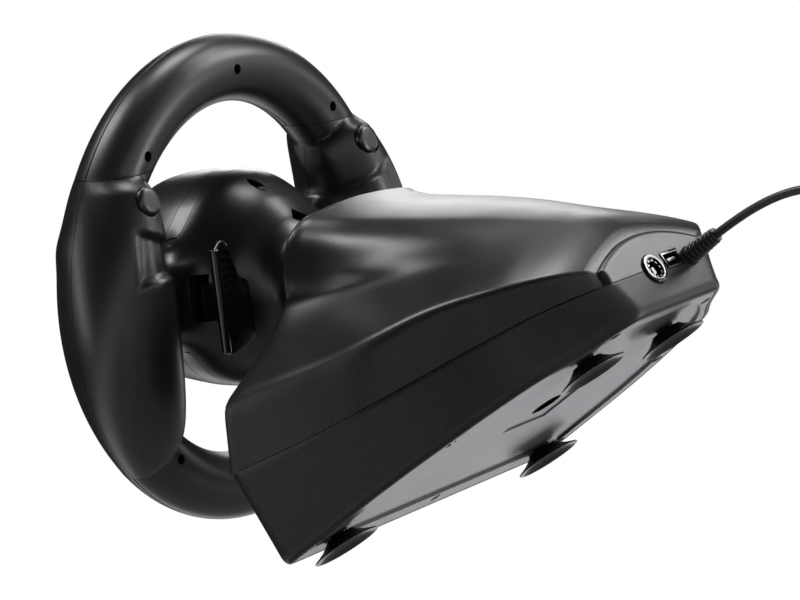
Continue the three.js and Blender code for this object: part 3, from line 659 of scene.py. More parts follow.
def spoke_field(u, s, v):
    """Signed distance to the bar that carries both grips, a box with round edges."""
    half_u, half_s, half_v = SPOKE_HALF
    a = np.abs(s) - (half_s - SPOKE_CORNER)
    b = np.abs(v - SPOKE_LEVEL) - (half_v - SPOKE_CORNER)
    c = np.abs(u) - (half_u - SPOKE_CORNER)
    out = np.sqrt(np.maximum(a, 0) ** 2 + np.maximum(b, 0) ** 2 + np.maximum(c, 0) ** 2)
    return out + np.minimum(np.maximum(a, np.maximum(b, c)), 0) - SPOKE_CORNER


def wheel_field(u, s, v, detail=True):
    body = smooth_min(hub_field(u, s, v), spoke_field(u, s, v), SPOKE_BLEND)
    return smooth_min(body, ring_field(u, s, v, detail), RIM_BLEND)


def rim_point(angle):
    turn = math.radians(angle)
    return RIM_RADIUS * math.sin(turn), RIM_RADIUS * math.cos(turn)


RIM_SCREWS = [rim_point(angle) for angle in (-45, 0, 45, -136, 136, 180)]
HUB_SCREW = (5, 53)


def wheel_inside(u, s, v):
    room = wheel_field(u, s, v, False) + WALL + 1.6
    for at in RIM_SCREWS + [HUB_SCREW]:
        room = np.maximum(room, 5.5 - np.hypot(u - at[0], v - at[1]))
    return room


def hollow_wheel():
    outer = field_object("wheel_skin", wheel_field, (-138, -60, -138), (138, 86, 138), 1.7)
    inner = field_object("wheel_inner", wheel_inside, (-134, -57, -134), (134, 83, 134), 3.2)
    inner.data.flip_normals()
    bm = bmesh.new()
    bm.from_mesh(outer.data)
    bm.from_mesh(inner.data)
    bm.to_mesh(outer.data)
    bm.free()
    bpy.data.objects.remove(inner)
    outer.data.shade_smooth()
    return outer


def wedge_normal(side):
    turn = math.radians(GRIP_END)
    return Vector((side * math.cos(turn), 0, -math.sin(turn)))


def rim_pieces(skin):
    """The two arcs of rim, the right grip and the hub's covers, each in a front and a back half."""
    made = {}
    half = GAP / 2
    for place, facing in (("front", 1), ("back", -1)):
        half_skin = slice_off(copy_of(skin, "half"), (0, -facing * half, 0), (0, facing, 0))
        made["rim_top_" + place] = slice_off(
            copy_of(half_skin, "rim_top_" + place), (0, 0, GRIP_SEAM + half), (0, 0, -1))
        bottom = copy_of(half_skin, "rim_bottom_" + place)
        slice_off(bottom, (0, 0, -40), (0, 0, 1))
        for side in (1, -1):
            out = -wedge_normal(side)
            slice_off(bottom, out * -half, out)
        made["rim_bottom_" + place] = largest_part(bottom)
        grip = copy_of(half_skin, "right_grip_" + place)
        slice_off(grip, (0, 0, GRIP_SEAM - half), (0, 0, 1))
        slice_off(grip, (0, 0, 0), (-1, 0, 0))
        slice_off(grip, wedge_normal(1) * half * -1, wedge_normal(1))
        hub = box_tool((-5, -90, -52), (SPOKE_SEAM + half, 95, 60))
        made["right_grip_" + place] = largest_part(cut(grip, [hub]))
        cover = copy_of(half_skin, "hub_%s_cover" % place)
        slice_off(cover, (SPOKE_SEAM - half, 0, 0), (1, 0, 0))
        slice_off(cover, (-SPOKE_SEAM + half, 0, 0), (-1, 0, 0))
        slice_off(cover, (0, 0, HUB_HALF_HEIGHT), (0, 0, 1))
        slice_off(cover, (0, 0, -HUB_HALF_HEIGHT), (0, 0, -1))
        made["hub_%s_cover" % place] = largest_part(cover)
        bpy.data.objects.remove(half_skin)
    return made


BACK_BUTTON_AT, BACK_BUTTON_RADIUS = (97.5, 28.5, 61), 8.1
BACK_BUTTON_LEAN = Matrix.Rotation(math.radians(17.5), 4, "X")
BAND_HALF_ANGLE, BAND_DEPTH = 62, 9.5
PADDLE_SLOT_S, PADDLE_SLOT_HALF = 24, (9, 3.6, 13)
SHAFT_RADIUS = 8
CAP_DEPTH, CAP_PROUD = 8, 1.6
ROUND_CAPS = [
    ("action_button_top", 19, 12.5, 4), ("action_button_bottom", 19, -4.5, 4),
    ("action_button_left", 10.5, 4, 4), ("action_button_right", 27.5, 4, 4),
    ("menu_button_left", -8, -20, 3), ("menu_button_right", 8, -20, 3), ("mode_button", 0, 24, 4.5),
]
PAD_CENTRE, PAD_ARM, PAD_HALF = (-19, 4), 10.5, 3.4


def band_solid(up, grow):
    """The space of a gloss trim: a strip round the hub just behind its seam, with round tips."""
    corner = 5
    points = []
    angles = np.linspace(-1, 1, 41) * (BAND_HALF_ANGLE + grow)
    for angle in angles:
        over = max(0, abs(angle) - (BAND_HALF_ANGLE + grow - corner)) / corner
        rear = (BAND_DEPTH + grow * GAP) * math.sqrt(max(0.01, 1 - over ** 2))
        turn = math.radians(angle)
        for radius, s in ((40, 0), (72, 0), (72, rear), (40, rear)):
            points.append((radius * math.sin(turn), s, up * radius * math.cos(turn)))
    return tidy_mesh(bmesh_from(points, capped_faces(len(angles), 4)))


def pad_outline(grow):
    x, z = PAD_CENTRE
    long, thin = PAD_ARM + grow, PAD_HALF + grow
    quarter = [(thin, -long), (thin, -thin), (long, -thin), (long, thin)]
    outline = []
    for turn in range(4):
        for px, pz in quarter[:-1]:
            c, t = (1, 0, -1, 0)[turn], (0, 1, 0, -1)[turn]
            outline.append((x + px * c - pz * t, z + px * t + pz * c))
    return outline


def button_hole(side, radius, low, high):
    x, y, z = BACK_BUTTON_AT
    return rod(radius, low, high, 40, axis="Y", at=(side * x, y, z), lean=BACK_BUTTON_LEAN)


def paddle_slot(side):
    a, b, c = PADDLE_SLOT_HALF
    return box_tool((side * 56 - a, PADDLE_SLOT_S - b, -c), (side * 56 + a, PADDLE_SLOT_S + b, c))


def screw_holes(spots, low, high, radius=2.9):
    return [rod(radius, low, high, 24, axis="Y", at=(x, 0, z)) for x, z in spots]


def dress_wheel():
    skin = hollow_wheel()
    made = rim_pieces(skin)
    bpy.data.objects.remove(skin)
    cut(made["rim_top_back"], screw_holes(RIM_SCREWS[:3], 7, 40))
    cut(made["rim_bottom_back"], screw_holes(RIM_SCREWS[3:], 7, 40))
    cut(made["right_grip_back"], [button_hole(1, BACK_BUTTON_RADIUS + GAP, -12, 12)])
    cut(made["right_grip_back"], [button_hole(1, BACK_BUTTON_RADIUS + 1.1, -0.4, 12)])
    for place in ("front", "back"):
        right = made["right_grip_" + place]
        made["left_grip_" + place] = copy_of(right, "left_grip_" + place, True)

    back = made["hub_back_cover"]
    for word, up in (("top", 1), ("bottom", -1)):
        trim = copy_of(back, "hub_trim_" + word)
        made["hub_trim_" + word] = cut(trim, [band_solid(up, 0)], "INTERSECT")
        trim.data.materials.clear()
    cut(back, [band_solid(1, 1), band_solid(-1, 1)])
    cut(back, [paddle_slot(1), paddle_slot(-1)])
    cut(back, [rod(SHAFT_RADIUS + GAP, 30, 95, 40, axis="Y")])
    cut(back, screw_holes([HUB_SCREW], 14, 60, 3.3))
    diamond = [(0, 30.5), (6, 35), (0, 39.5), (-6, 35)]
    cut(back, [outline_prism(diamond, 46, 60, "Y")])
    front = made["hub_front_cover"]
    caps = [rod(r + 0.35, HUB_FRONT - 5, HUB_FRONT + CAP_DEPTH, 32, axis="Y", at=(x, 0, z))
            for _, x, z, r in ROUND_CAPS]
    cut(front, caps)
    cut(front, [outline_prism(pad_outline(0.9), HUB_FRONT - 5, HUB_FRONT + CAP_DEPTH, "Y")])

    for name, obj in made.items():
        obj.name = "look_" + name
        kind, slot = (trim_plastic, "gloss_plastic") if "trim" in name else (satin, "satin_shell")
        if "hub" in name and "trim" not in name:
            kind = smooth_satin
        finish_piece(obj, WHEEL, "steering_wheel", [name], kind)


def dress_controls():
    """Caps on the hub's face, the pad, and the buttons behind the grips."""
    foot, face = HUB_FRONT + CAP_DEPTH - 1, HUB_FRONT - CAP_PROUD
    for name, x, z, radius in ROUND_CAPS:
        profile = rounded([(0, foot), (radius, foot), (radius, face + 0.5),
                           (radius * 0.55, face), (0, face)], 0.6)
        cap = object_from("look_" + name, turned(profile, 36, axis="Y", at=(x, 0, z)))
        finish_piece(cap, WHEEL, name, [name], gloss)
    pad = object_from("look_d_pad", outline_prism(pad_outline(0), face, foot - 1, "Y"), 30)
    soften(pad, 0.7, 3)
    finish_piece(pad, WHEEL, "d_pad", ["d_pad"], gloss)
    for word, side in (("right", 1), ("left", -1)):
        x, y, z = BACK_BUTTON_AT
        r = BACK_BUTTON_RADIUS
        profile = rounded([(0, -7), (r, -7), (r, 1.6), (r * 0.75, 2.6), (0, 3.0)], 1.6, 6)
        cap = object_from("look_%s_back_button" % word, turned(
            profile, 48, axis="Y", at=(side * x, y, z), lean=BACK_BUTTON_LEAN))
        finish_piece(cap, WHEEL, word + "_back_button", [word + "_back_button"], smooth_satin)


def soften(obj, width, segments, angle=30):
    """Rounds the edges sharper than angle, in degrees, with a bevel of that width."""
    step = obj.modifiers.new("edge", "BEVEL")
    step.width, step.segments, step.limit_method = width, segments, "ANGLE"
    step.angle_limit = math.radians(angle)
    step.harden_normals = False
    apply_modifiers(obj)
    obj.data.shade_smooth()
    obj.data.set_sharp_from_angle(angle=math.radians(50))
    return obj


BLADE_S, BLADE_THICKNESS = 48, 2.4
BLADE_BACK = BLADE_S + BLADE_THICKNESS
BLADE_OUTLINE = [
    (67.5, 35.5), (74, 30), (73.6, 12), (72.9, -6), (72, -20), (69.5, -27), (63, -27.5), (48, -23),
    (45.5, -20), (45.5, -6), (48, 10), (55, 13), (62.7, 33),
]
ARM_LINE = [(46, 24), (57, 24.8), (64.5, 34), (67.5, 50)]
ARM_THICKNESS, ARM_HALF_HEIGHT = 3, 9


def rounded_outline(outline, radius):
    count = len(outline)
    done = []
    for i in range(count):
        trio = [outline[i - 1], outline[i], outline[(i + 1) % count]]
        done += rounded(trio, radius)[1:-1]
    return done


def dress_paddles():
    for word, side in (("right", 1), ("left", -1)):
        name = "look_%s_paddle" % word
        outline = [(side * x, z) for x, z in rounded_outline(BLADE_OUTLINE, 2.2)]
        blade = object_from(name, outline_prism(outline, BLADE_S, BLADE_BACK, "Y"), 30)
        soften(blade, 0.6, 2, 60)
        half = ARM_THICKNESS / 2
        strip = [(x + (half if i > 1 else 0), y - half) for i, (x, y) in enumerate(ARM_LINE)]
        strip += [(x - (half if i > 1 else 0), y + (0 if i > 1 else half))
                  for i, (x, y) in reversed(list(enumerate(ARM_LINE)))]
        strip = rounded_outline([(side * x, y) for x, y in strip], 2.5)
        cut(blade, [outline_prism(strip, -ARM_HALF_HEIGHT, ARM_HALF_HEIGHT)], "UNION")
        cut(blade, [rod(3, -ARM_HALF_HEIGHT, ARM_HALF_HEIGHT, 24, at=(side * 46, 24, 0))], "UNION")
        window = rounded_outline([(62.6, 30), (69.5, 28), (68.8, 6.5), (57.2, 10.5)], 1.5)
        cut(blade, [outline_prism([(side * x, z) for x, z in window], BLADE_S + 0.9,
                                  BLADE_S + 9, "Y")], sharp=40)
        a, b = Vector((side * 69.9, BLADE_S + 1, -26)), Vector((side * 72.7, BLADE_S + 1, 31))
        line = rounded([(0, 0), (2.7, 0), (2.7, (b - a).length), (0, (b - a).length)], 2.4, 6)
        bar = turned(line, 24)
        bar.transform(Matrix.Translation(a) @ (b - a).to_track_quat("Z", "Y").to_matrix().to_4x4())
        cut(blade, [bar], "UNION")
        ribs = []
        for z in (12, 16.5, 21, 25.5):
            inner_end = 57.4 + (z - 10.5) * 0.27
            low_x, high_x = sorted((side * inner_end, side * 69.6))
            ribs.append(box_tool((low_x, BLADE_S + 0.5, z - 0.55),
                                 (high_x, BLADE_BACK + 0.5, z + 0.55)))
        cut(blade, ribs, "UNION", 40)
        finish_piece(blade, WHEEL, word + "_paddle", [word + "_paddle"], gloss)


dress_wheel()
dress_controls()
dress_paddles()


# ---- Base shells ----------------------------------------------------------------------------
# Station, then y and z of the parting line and its half-width, the same for the side crease,
# the crown's y and z, and the shoulder's half-width and drop.
BASE_ROWS = [
    (0.00, -17, 63, 125, 4, 94, 125, 53.5, 165, 49, 3.5),
    (0.14, 22, 55, 124, 38, 86, 123, 72, 150, 40, 3),
    (0.28, 52, 49.5, 122, 70, 78, 120, 92, 136.5, 37, 3),
    (0.44, 84, 45, 117, 103, 72, 116, 116, 120, 34, 2.5),
    (0.58, 110, 42, 107, 130, 67, 107, 138, 104.5, 29, 2.5),
    (0.71, 134, 39.5, 97, 151, 60.5, 97, 155, 91, 24, 2),
    (0.82, 158, 36.5, 86, 170, 53, 85, 170, 79, 20, 2),
    (0.92, 180, 33, 68, 186, 45, 67, 184, 66, 18, 2),
    (1.00, REAR_Y, 29.5, 47, REAR_Y, 38, 47, REAR_Y, 50, 22, 2.5),
]
FRONT_FLANK = [
    (1, 0), (0.776, 0.122), (0.5, 0.28), (0.355, 0.378), (0.224, 0.524), (0.237, 0.622),
    (0.224, 0.72), (0.158, 0.902), (0, 1),
]
BAND_STEPS, FLANK_STEPS, CROWN_STEPS = 10, 36, 14
PLAN_TOP = [(row[3], row[1]) for row in BASE_ROWS]
PLAN_BOTTOM = [
    (121, -20), (119, 18), (116.5, 50), (111, 80), (103, 106), (94, 130), (82, 150), (60, 170),
    (40, REAR_Y - 2),
]
EDGE_ROUND = 3.0


def smooth_row(points, turns, closed=False):
    for _ in range(turns):
        before, after = np.roll(points, 1, 0), np.roll(points, -1, 0)
        mean = (before + 2 * points + after) / 4
        if not closed:
            mean[0], mean[-1] = points[0], points[-1]
        points = mean
    return points


def upper_section(station):
    """Points across the upper shell from the right parting edge over to the left one."""
    keys = [row[0] for row in BASE_ROWS]
    py, pz, pw, cy, cz, cw, ty, tz, sw, drop = (
        float(spline(keys, [row[i] for row in BASE_ROWS], station)) for i in range(1, 11))
    shoulder_y = ty - (tz - cz) * 0.02
    waist = max(0.0, 1 - 1.25 * station)
    band = [(pw + (cw - pw) * k, py + (cy - py) * k, pz + (cz - pz) * k)
            for k in np.linspace(0, 1, BAND_STEPS + 1)]
    hollow_out, hollow_up = zip(*FRONT_FLANK)
    flank = []
    for k in np.linspace(0, 1, FLANK_STEPS + 1)[1:]:
        along = k * (len(FRONT_FLANK) - 1)
        out_a = float(spline(range(len(FRONT_FLANK)), hollow_out, along))
        up_a = float(spline(range(len(FRONT_FLANK)), hollow_up, along))
        out_b = 1 - k + 0.08 * math.sin(math.pi * k)
        out, up = out_b + (out_a - out_b) * waist, k + (up_a - k) * waist
        flank.append((sw + (cw - sw) * out, cy + (shoulder_y - cy) * up,
                      cz + (tz - drop - cz) * up))
    crown = [(sw * (1 - k), shoulder_y + (ty - shoulder_y) * k, tz - drop * (1 - k) ** 2)
             for k in np.linspace(0, 1, CROWN_STEPS + 1)[1:]]
    right = np.array(band + flank + crown)
    left = right[:-1][::-1] * (-1, 1, 1)
    return smooth_row(np.concatenate([right, left]), 3)


def inward(points, across, up, closed=False):
    """Unit vectors pointing into an outline, within the plane of two directions."""
    flat = np.stack([points @ np.array(across, float), points @ np.array(up, float)], 1)
    if closed:
        run = np.roll(flat, -1, 0) - np.roll(flat, 1, 0)
    else:
        run = np.gradient(flat, axis=0)
    run /= np.maximum(np.linalg.norm(run, axis=1, keepdims=True), 1e-9)
    normal = np.stack([-run[:, 1], run[:, 0]], 1)
    middle = flat.mean(0) - flat
    normal *= np.where((normal * middle).sum() < 0, -1, 1)
    return normal[:, :1] * np.array(across, float) + normal[:, 1:] * np.array(up, float)


SHAFT_WAY = np.array([0, math.cos(TILT), -math.sin(TILT)])
FRONT_UP = (0, math.sin(TILT), math.cos(TILT))


def upper_body(inset, extend, stations, front_back, rear_back, rounding):
    """Closed loft of the upper shell's sections with rounded ends."""
    rings = []
    front, rear = upper_section(0.0), upper_section(1.0)
    front_in = inward(front, (1, 0, 0), FRONT_UP)
    rear_in = inward(rear, (1, 0, 0), (0, 0, 1))
    steps = [(rounding + 0.8, 0.0)] if rounding else [(0.0, 0.0)]
    for k in range(5 if rounding else 0):
        turn = math.radians(90 * k / 4)
        steps.append((rounding * (1 - math.sin(turn)), rounding * (1 - math.cos(turn))))
    for narrow, behind in steps:
        rings.append(front + front_in * (narrow + inset) + SHAFT_WAY * (behind + front_back))
    for station in stations:
        ring = upper_section(station)
        tilt = TILT * max(0.0, 1 - station * 1.3)
        ring = ring + inward(ring, (1, 0, 0), (0, math.sin(tilt), math.cos(tilt))) * inset
        rings.append(ring)
    for narrow, behind in reversed(steps):
        rings.append(rear + rear_in * (narrow + inset) - np.array([0, behind + rear_back, 0]))
    rows = []
    for ring in rings:
        if extend:
            ring = ring.copy()
            for end, step in ((0, 6), (-1, -7)):
                ring[end] = ring[end] + (ring[end] - ring[step]) * extend
        rows.append(ring)
    count = len(rows[0])
    bm = bmesh_from(np.concatenate(rows).tolist(), capped_faces(len(rows), count))
    for i, face in enumerate(bm.faces):
        k = i % count
        in_band = k < BAND_STEPS or count - 1 - BAND_STEPS <= k < count - 1
        face.material_index = int(in_band and i < count * (len(rows) - 1))
    bmesh.ops.recalc_face_normals(bm, faces=bm.faces)
    return bm


def plan_ring(outline, heights, inset):
    """The base's outline seen from above as a closed ring, with evenly filled ends."""
    keys = [row[0] for row in BASE_ROWS]
    along = np.linspace(0, 1, 72)
    x = spline(keys, [p[0] for p in outline], along)
    y = spline(keys, [p[1] for p in outline], along)
    z = spline(keys, heights, along) if np.ndim(heights) else np.full(len(along), float(heights))
    right = np.stack([x, y, z], 1)
    rear = [right[-1] * (1 - 2 * k, 1, 1) for k in np.linspace(0, 1, 30)[1:-1]]
    left = right[::-1] * (-1, 1, 1)
    front = [left[-1] * (1 - 2 * k, 1, 1) for k in np.linspace(0, 1, 64)[1:-1]]
    ring = smooth_row(np.concatenate([right, rear, left, front]), 2, True)
    if inset:
        ring = ring + inward(ring, (1, 0, 0), (0, 1, 0), True) * inset
    return ring


def lower_body():
    """The wall between the parting line and the desk-side edge, as one closed skin."""
    parting = np.array([row[2] for row in BASE_ROWS])
    foot, full = PLATE_BOTTOM, PLATE_BOTTOM + 5.3
    rings = []
    for k in range(6):
        turn = math.radians(90 * k / 5)
        rings.append(plan_ring(PLAN_BOTTOM, foot + (full - foot) * (1 - math.cos(turn)),
                               0.6 - 2.6 * math.sin(turn)))
    low, high = rings[-1], plan_ring(PLAN_TOP, parting - GAP, 0)
    for part in np.linspace(0, 1, 12)[1:-1]:
        rings.append(low + (high - low) * part)
    rings.append(plan_ring(PLAN_TOP, parting - GAP - 0.5, 0))
    rings.append(plan_ring(PLAN_TOP, parting - GAP - 0.1, 0.12))
    rings.append(plan_ring(PLAN_TOP, parting - GAP, 0.5))
    rings.append(plan_ring(PLAN_TOP, parting - GAP, WALL))
    low, high = plan_ring(PLAN_BOTTOM, full, WALL - 2), rings[-1]
    for part in np.linspace(1, 0, 6)[1:]:
        rings.append(low + (high - low) * part)
    rings.append(plan_ring(PLAN_BOTTOM, foot + 2.8, WALL - 0.6))
    rings.append(plan_ring(PLAN_BOTTOM, foot, WALL))
    count = len(rings[0])
    faces = strip_faces(len(rings), count)
    last = (len(rings) - 1) * count
    faces += [(last + k, last + (k + 1) % count, (k + 1) % count, k) for k in range(count)]
    bm = bmesh_from(np.concatenate(rings).tolist(), faces)
    bmesh.ops.recalc_face_normals(bm, faces=bm.faces)
    return bm


POCKET_DEPTH = 14
PEDAL_POCKET, CABLE_POCKET, SHIFTER_POCKET = 8.6, 5.6, (8.3, 4.8)
SHAFT_OPENING = 36


def port_pockets():
    deep, (wide, tall) = POCKET_DEPTH, SHIFTER_POCKET
    return [
        rod(PEDAL_POCKET, -deep, deep, 40, axis="Y", at=(PEDAL_X, REAR_Y, PORT_Z)),
        box_tool((SHIFTER_X - wide, REAR_Y - deep, SHIFTER_Z - tall),
                 (SHIFTER_X + wide, REAR_Y + deep, SHIFTER_Z + tall)),
        rod(CABLE_POCKET, -deep, deep, 32, axis="Y", at=(CABLE_X, REAR_Y, PORT_Z)),
    ]


def dress_shells():
    stations = [0.03, 0.05, *np.linspace(0.075, 0.95, 50), 0.965, 0.975]
    upper = object_from("look_base_upper", upper_body(0, 0, stations, 0, 0, EDGE_ROUND), 50)
    upper.data.materials.append(satin)
    upper.data.materials.append(grained)
    inner = upper_body(WALL, 0.6, [0.07, *np.linspace(0.1, 0.93, 20), 0.95], 2.8, 2.8, 0)
    cut(upper, [inner])
    opening = rod(SHAFT_OPENING, COWL_PLANE - 10, COWL_PLANE + 10, 72, axis="Y")
    opening.transform(BASE.inverted() @ WHEEL)
    cut(upper, [opening])
    cut(upper, port_pockets(), sharp=50)
    finish_piece(upper, BASE, "base", ["base_upper_shell"], satin)
    lower = object_from("look_base_lower", lower_body(), 50)
    cut(lower, port_pockets(), sharp=50)
    finish_piece(lower, BASE, "base", ["base_lower_shell"], grained)


dress_shells()


# ---- Underside ------------------------------------------------------------------------------
PLATE_THICKNESS = 2.6
PLATE_INSET = WALL + GAP
PANEL_SIDE_INSET, PANEL_FRONT_INSET, PANEL_DEPTH = 11, 18, 1.4
CLAMP_Y, CLAMP_HALF, CLAMP_BORE = 88, 20, 9
SCREW_SPOTS = [
    (112.5, 1), (-112.5, 1), (98.5, 96), (-98.5, 96), (43.5, 178), (-43.5, 178), (0, -8),
]
SCREW_HEAD, SCREW_SHANK = 3.0, 1.4
CUPS = [
    ("suction_cup_front_right", 95, 0), ("suction_cup_front_left", -95, 0),
    ("suction_cup_rear_right", 38.2, 151), ("suction_cup_rear_left", -38.2, 151),
]
CUP_RADIUS, CUP_BORE = 19.2, 5.4
CROSS_LONG, CROSS_THIN = 1.7, 0.3          # the recess in a plate screw's head


def plate_outline(inset, height):
    return plan_ring(PLAN_BOTTOM, height, inset)


def panel_outline(inset, height):
    """Outline of the shallow panel that fills most of the plate's underside."""
    outline = [(x - PANEL_SIDE_INSET, y) for x, y in PLAN_BOTTOM]
    outline[0] = (outline[0][0], PLAN_BOTTOM[0][1] + PANEL_FRONT_INSET)
    outline[-1] = (outline[-1][0], PLAN_BOTTOM[-1][1] - PANEL_SIDE_INSET)
    return plan_ring(outline, height, inset)


def stacked(rings):
    """A closed solid through rings of equal length, flat at both ends."""
    count = len(rings[0])
    bm = bmesh_from(np.concatenate(rings).tolist(), capped_faces(len(rings), count))
    bmesh.ops.recalc_face_normals(bm, faces=bm.faces)
    return bm


def dress_underside():
    low, high = PLATE_BOTTOM, PLATE_BOTTOM + PLATE_THICKNESS
    rings = [panel_outline(1.2, low + PANEL_DEPTH), panel_outline(0.15, low + PANEL_DEPTH),
             panel_outline(0, low),
             plate_outline(PLATE_INSET + 0.4, low), plate_outline(PLATE_INSET, low + 0.4),
             plate_outline(PLATE_INSET, high)]
    plate = object_from("look_bottom_plate", stacked(rings), 25)
    a, b = CLAMP_Y - CLAMP_HALF, CLAMP_Y + CLAMP_HALF
    for tools in (
            [rod(SCREW_HEAD + GAP, low - 1, low + 2.2, 32, at=(x, y, 0)) for x, y in SCREW_SPOTS],
            [rod(SCREW_SHANK + GAP, 0, 40, 20, at=(x, y, 0)) for x, y in SCREW_SPOTS],
            [rod(CUP_BORE, 0, 40, 32, at=(x, y, 0)) for _, x, y in CUPS],
            [box_tool((-CLAMP_HALF, a, 0), (CLAMP_HALF, b, low + PANEL_DEPTH + 0.8))],
            [rod(CLAMP_BORE, 0, 40, 48, at=(0, CLAMP_Y, 0))]):
        cut(plate, tools, sharp=25)
    # The plate's light grey colour is painted sheen, standing in for reflected light on black
    # plastic.
    finish_piece(plate, BASE, "base", ["bottom_plate"], underside_painted_sheen)

    for name, x, y in CUPS:
        profile = rounded([
            (0, 4.0), (7, 3.6), (13, 2.1), (17.2, 0.5), (CUP_RADIUS - 0.7, 0.0), (CUP_RADIUS, 0.35),
            (CUP_RADIUS - 0.3, 0.8), (16.5, 1.7), (13, 3.3), (10.2, 5.3), (8.8, 6.5),
            (8.6, low - GAP), (5, low - GAP), (5, 11.8), (4.2, 12.2), (0, 12.2)], 0.8, 3)
        cup = object_from("look_" + name, turned(profile, 72, at=(x, y, 0)), 60)
        finish_piece(cup, BASE, "base", [name], vinyl)

    top = low + 1.0
    far, near = CROSS_LONG, CROSS_THIN
    arms = [(-far, -near), (-near, -near), (-near, -far), (near, -far), (near, -near),
            (far, -near), (far, near), (near, near), (near, far), (-near, far), (-near, near),
            (-far, near)]
    profile = [(0, top + 0.05), (SCREW_HEAD - 0.5, top), (SCREW_HEAD, top + 0.4),
               (SCREW_HEAD, top + 1.1), (SCREW_SHANK, top + 1.1), (SCREW_SHANK, low + 11),
               (0.3, low + 12), (0, low + 12)]
    for number, (x, y) in enumerate(SCREW_SPOTS, 1):
        name = "plate_screw_%d" % number
        screw = object_from("look_" + name, turned(profile, 28, at=(x, y, 0)), 40)
        cut(screw, [outline_prism([(x + px, y + py) for px, py in arms], top - 1, top + 0.8)])
        finish_piece(screw, BASE, "base", [name], screw_steel)


# ---- Rear face: sockets, boot, and what the cord carries ------------------------------------
BOOT_RIBS, RIB_PITCH = 7, 2.75


def dress_rear():
    profile = rounded([(0, -9), (8.2, -9), (8.2, 1.5), (5.6, 1.5), (5.6, -6), (0, -6)], 0.45, 3)
    at = (PEDAL_X, REAR_Y, PORT_Z)
    socket = object_from("look_pedal_socket", turned(profile, 64, axis="Y", at=at), 35)
    teeth = []
    for k in range(10):
        turn = 2 * math.pi * k / 10
        tooth = box_tool((4.3, -6.3, -0.8), (5.9, 0.7, 0.8))
        tooth.transform(Matrix.Translation(at) @ Matrix.Rotation(turn, 4, "Y"))
        teeth.append(tooth)
    cut(socket, teeth, "UNION", 35)
    key = box_tool((PEDAL_X - 1.1, REAR_Y - 6.3, PORT_Z - 2.6),
                   (PEDAL_X + 1.1, REAR_Y - 0.6, PORT_Z + 1.2))
    cut(socket, [key], "UNION", 35)
    finish_piece(socket, BASE, "base", ["pedal_socket"], gloss)
    pins = bmesh.new()
    for k in range(6):
        turn = math.radians(60 * k + 30)
        pin = rod(0.5, -5.9, -1.5, 12, axis="Y", at=(
            PEDAL_X + 3.1 * math.cos(turn), REAR_Y, PORT_Z + 3.1 * math.sin(turn)))
        data = bpy.data.meshes.new("pin")
        pin.to_mesh(data)
        pin.free()
        pins.from_mesh(data)
        bpy.data.meshes.remove(data)
    pins = object_from("pedal_socket_pins", pins)
    finish_piece(pins, BASE, "base", [], bright_steel)

    x, z = SHIFTER_X, SHIFTER_Z
    shell = object_from("look_shifter_socket", box_tool(
        (x - 8, REAR_Y - 11, z - 4.5), (x + 8, REAR_Y + 0.6, z + 4.5)), 30)
    soften(shell, 0.5, 2)
    cut(shell, [box_tool((x - 6.6, REAR_Y - 9, z - 3.2), (x + 6.6, REAR_Y + 2, z + 3.2))])
    tongue = box_tool((x - 5.2, REAR_Y - 9.4, z - 0.9), (x + 2.6, REAR_Y - 0.8, z + 0.9))
    cut(shell, [tongue], "UNION", 30)
    finish_piece(shell, BASE, "base", ["shifter_socket"], gloss)
    contact = object_from("shifter_socket_contacts", box_tool(
        (x - 6.5, REAR_Y - 8.9, z - 3.1), (x - 5.8, REAR_Y - 0.3, z + 3.1)))
    finish_piece(contact, BASE, "base", [], bright_steel)

    inner = CABLE_RADIUS + 0.1
    profile = [(inner, -6), (5.2, -6), (5.2, 0.6)]
    for k in range(BOOT_RIBS):
        start, wide = 1.2 + k * RIB_PITCH, 5.3 - 1.1 * k / BOOT_RIBS
        profile += [(wide - 0.2, start), (wide, start + 0.35), (wide, start + 1.3),
                    (wide - 0.2, start + 1.6), (wide - 1.1, start + 1.75),
                    (wide - 1.1, start + RIB_PITCH - 0.25)]
    profile += [(3.9, BOOT_LENGTH - 0.5), (3.5, BOOT_LENGTH), (inner, BOOT_LENGTH), (inner, -6)]
    boot = object_from("look_cable_boot", turned(
        profile, 48, axis="Y", at=(CABLE_X, REAR_Y, PORT_Z)), 35)
    finish_piece(boot, BASE, "base", ["cable_boot"], sheath)


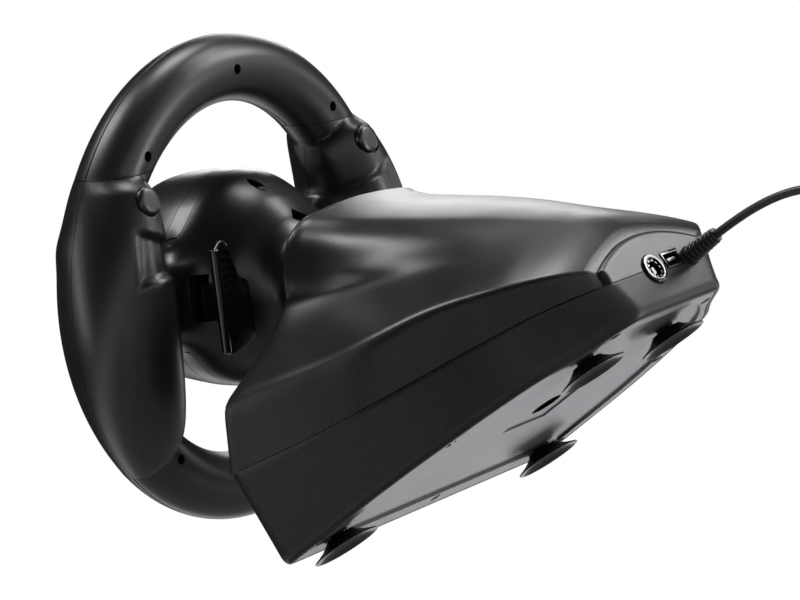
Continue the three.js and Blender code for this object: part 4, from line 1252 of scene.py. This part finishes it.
def dress_inner_parts():
    """Materials for the hidden parts, which keep their plain shapes."""
    looks = {
        mask: ("main_board", "wheel_board"),
        bright_steel: ("left_rumble_motor", "right_rumble_motor", "steering_shaft",
                       "centring_spring"),
        gold: ("left_rumble_weight", "right_rumble_weight"),
        nylon: ("front_bushing", "rear_bushing", "shaft_gear", "sensor_gear"),
        screw_steel: ("steering_sensor",),
        underside_painted_sheen: ("column_bracket",),
    }
    for material, names in looks.items():
        for name in names:
            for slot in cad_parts[name].material_slots:
                slot.material = material


def dress_cord_end():
    x, y, tall = COIL_X, COIL_CENTRE_Y, COIL_HEIGHT
    tie = object_from("look_coil_tie", box_tool(
        (x - 3, y - COIL_OUTER - 1.2, 0.01), (x + 3, y - COIL_INNER + 2, tall + 1.2)), 30)
    soften(tie, 0.8, 3)
    cut(tie, [box_tool((x - 5, y - COIL_OUTER - GAP, -GAP),
                       (x + 5, y - COIL_INNER + 1, tall + GAP))])
    finish_piece(tie, BASE, "base", ["coil_tie"], vinyl)
    px, half, rear = x + PLUG_X, PLUG_HALF, y - PLUG_LENGTH
    body = object_from("look_usb_plug_body", box_tool((px - half, rear, 0), (px + half, y, 8)), 30)
    soften(body, 1.6, 4)
    grips = []
    for k in range(5):
        at = y - 17 + k * 3
        for edge in (px - half, px + half):
            grips.append(box_tool((edge - 0.5, at, 1.8), (edge + 0.5, at + 1.2, 6.2)))
    cut(body, grips)
    finish_piece(body, BASE, "base", ["usb_plug_body"], gloss)
    tip = object_from("look_usb_plug_shell", box_tool(
        (px - 6, y - 36, 1.8), (px + 6, rear - GAP, 6.3)), 30)
    soften(tip, 0.35, 2)
    cut(tip, [box_tool((px - 5.6, y - 37, 2.2), (px + 5.6, y - 24, 5.9))])
    cut(tip, [box_tool((at - 1.1, y - 30, 5.5), (at + 1.1, y - 27.8, 7))
              for at in (px - 2.6, px + 2.6)])
    finish_piece(tip, BASE, "base", ["usb_plug_shell"], bright_steel)
    tongue = object_from("usb_plug_tongue", box_tool(
        (px - 5.4, y - 35, 4.0), (px + 5.4, y - 24.2, 5.7)))
    finish_piece(tongue, BASE, "base", [], nylon)
    return [body, tip, tongue, tie]


dress_underside()
dress_rear()
dress_inner_parts()
on_cord = dress_cord_end()
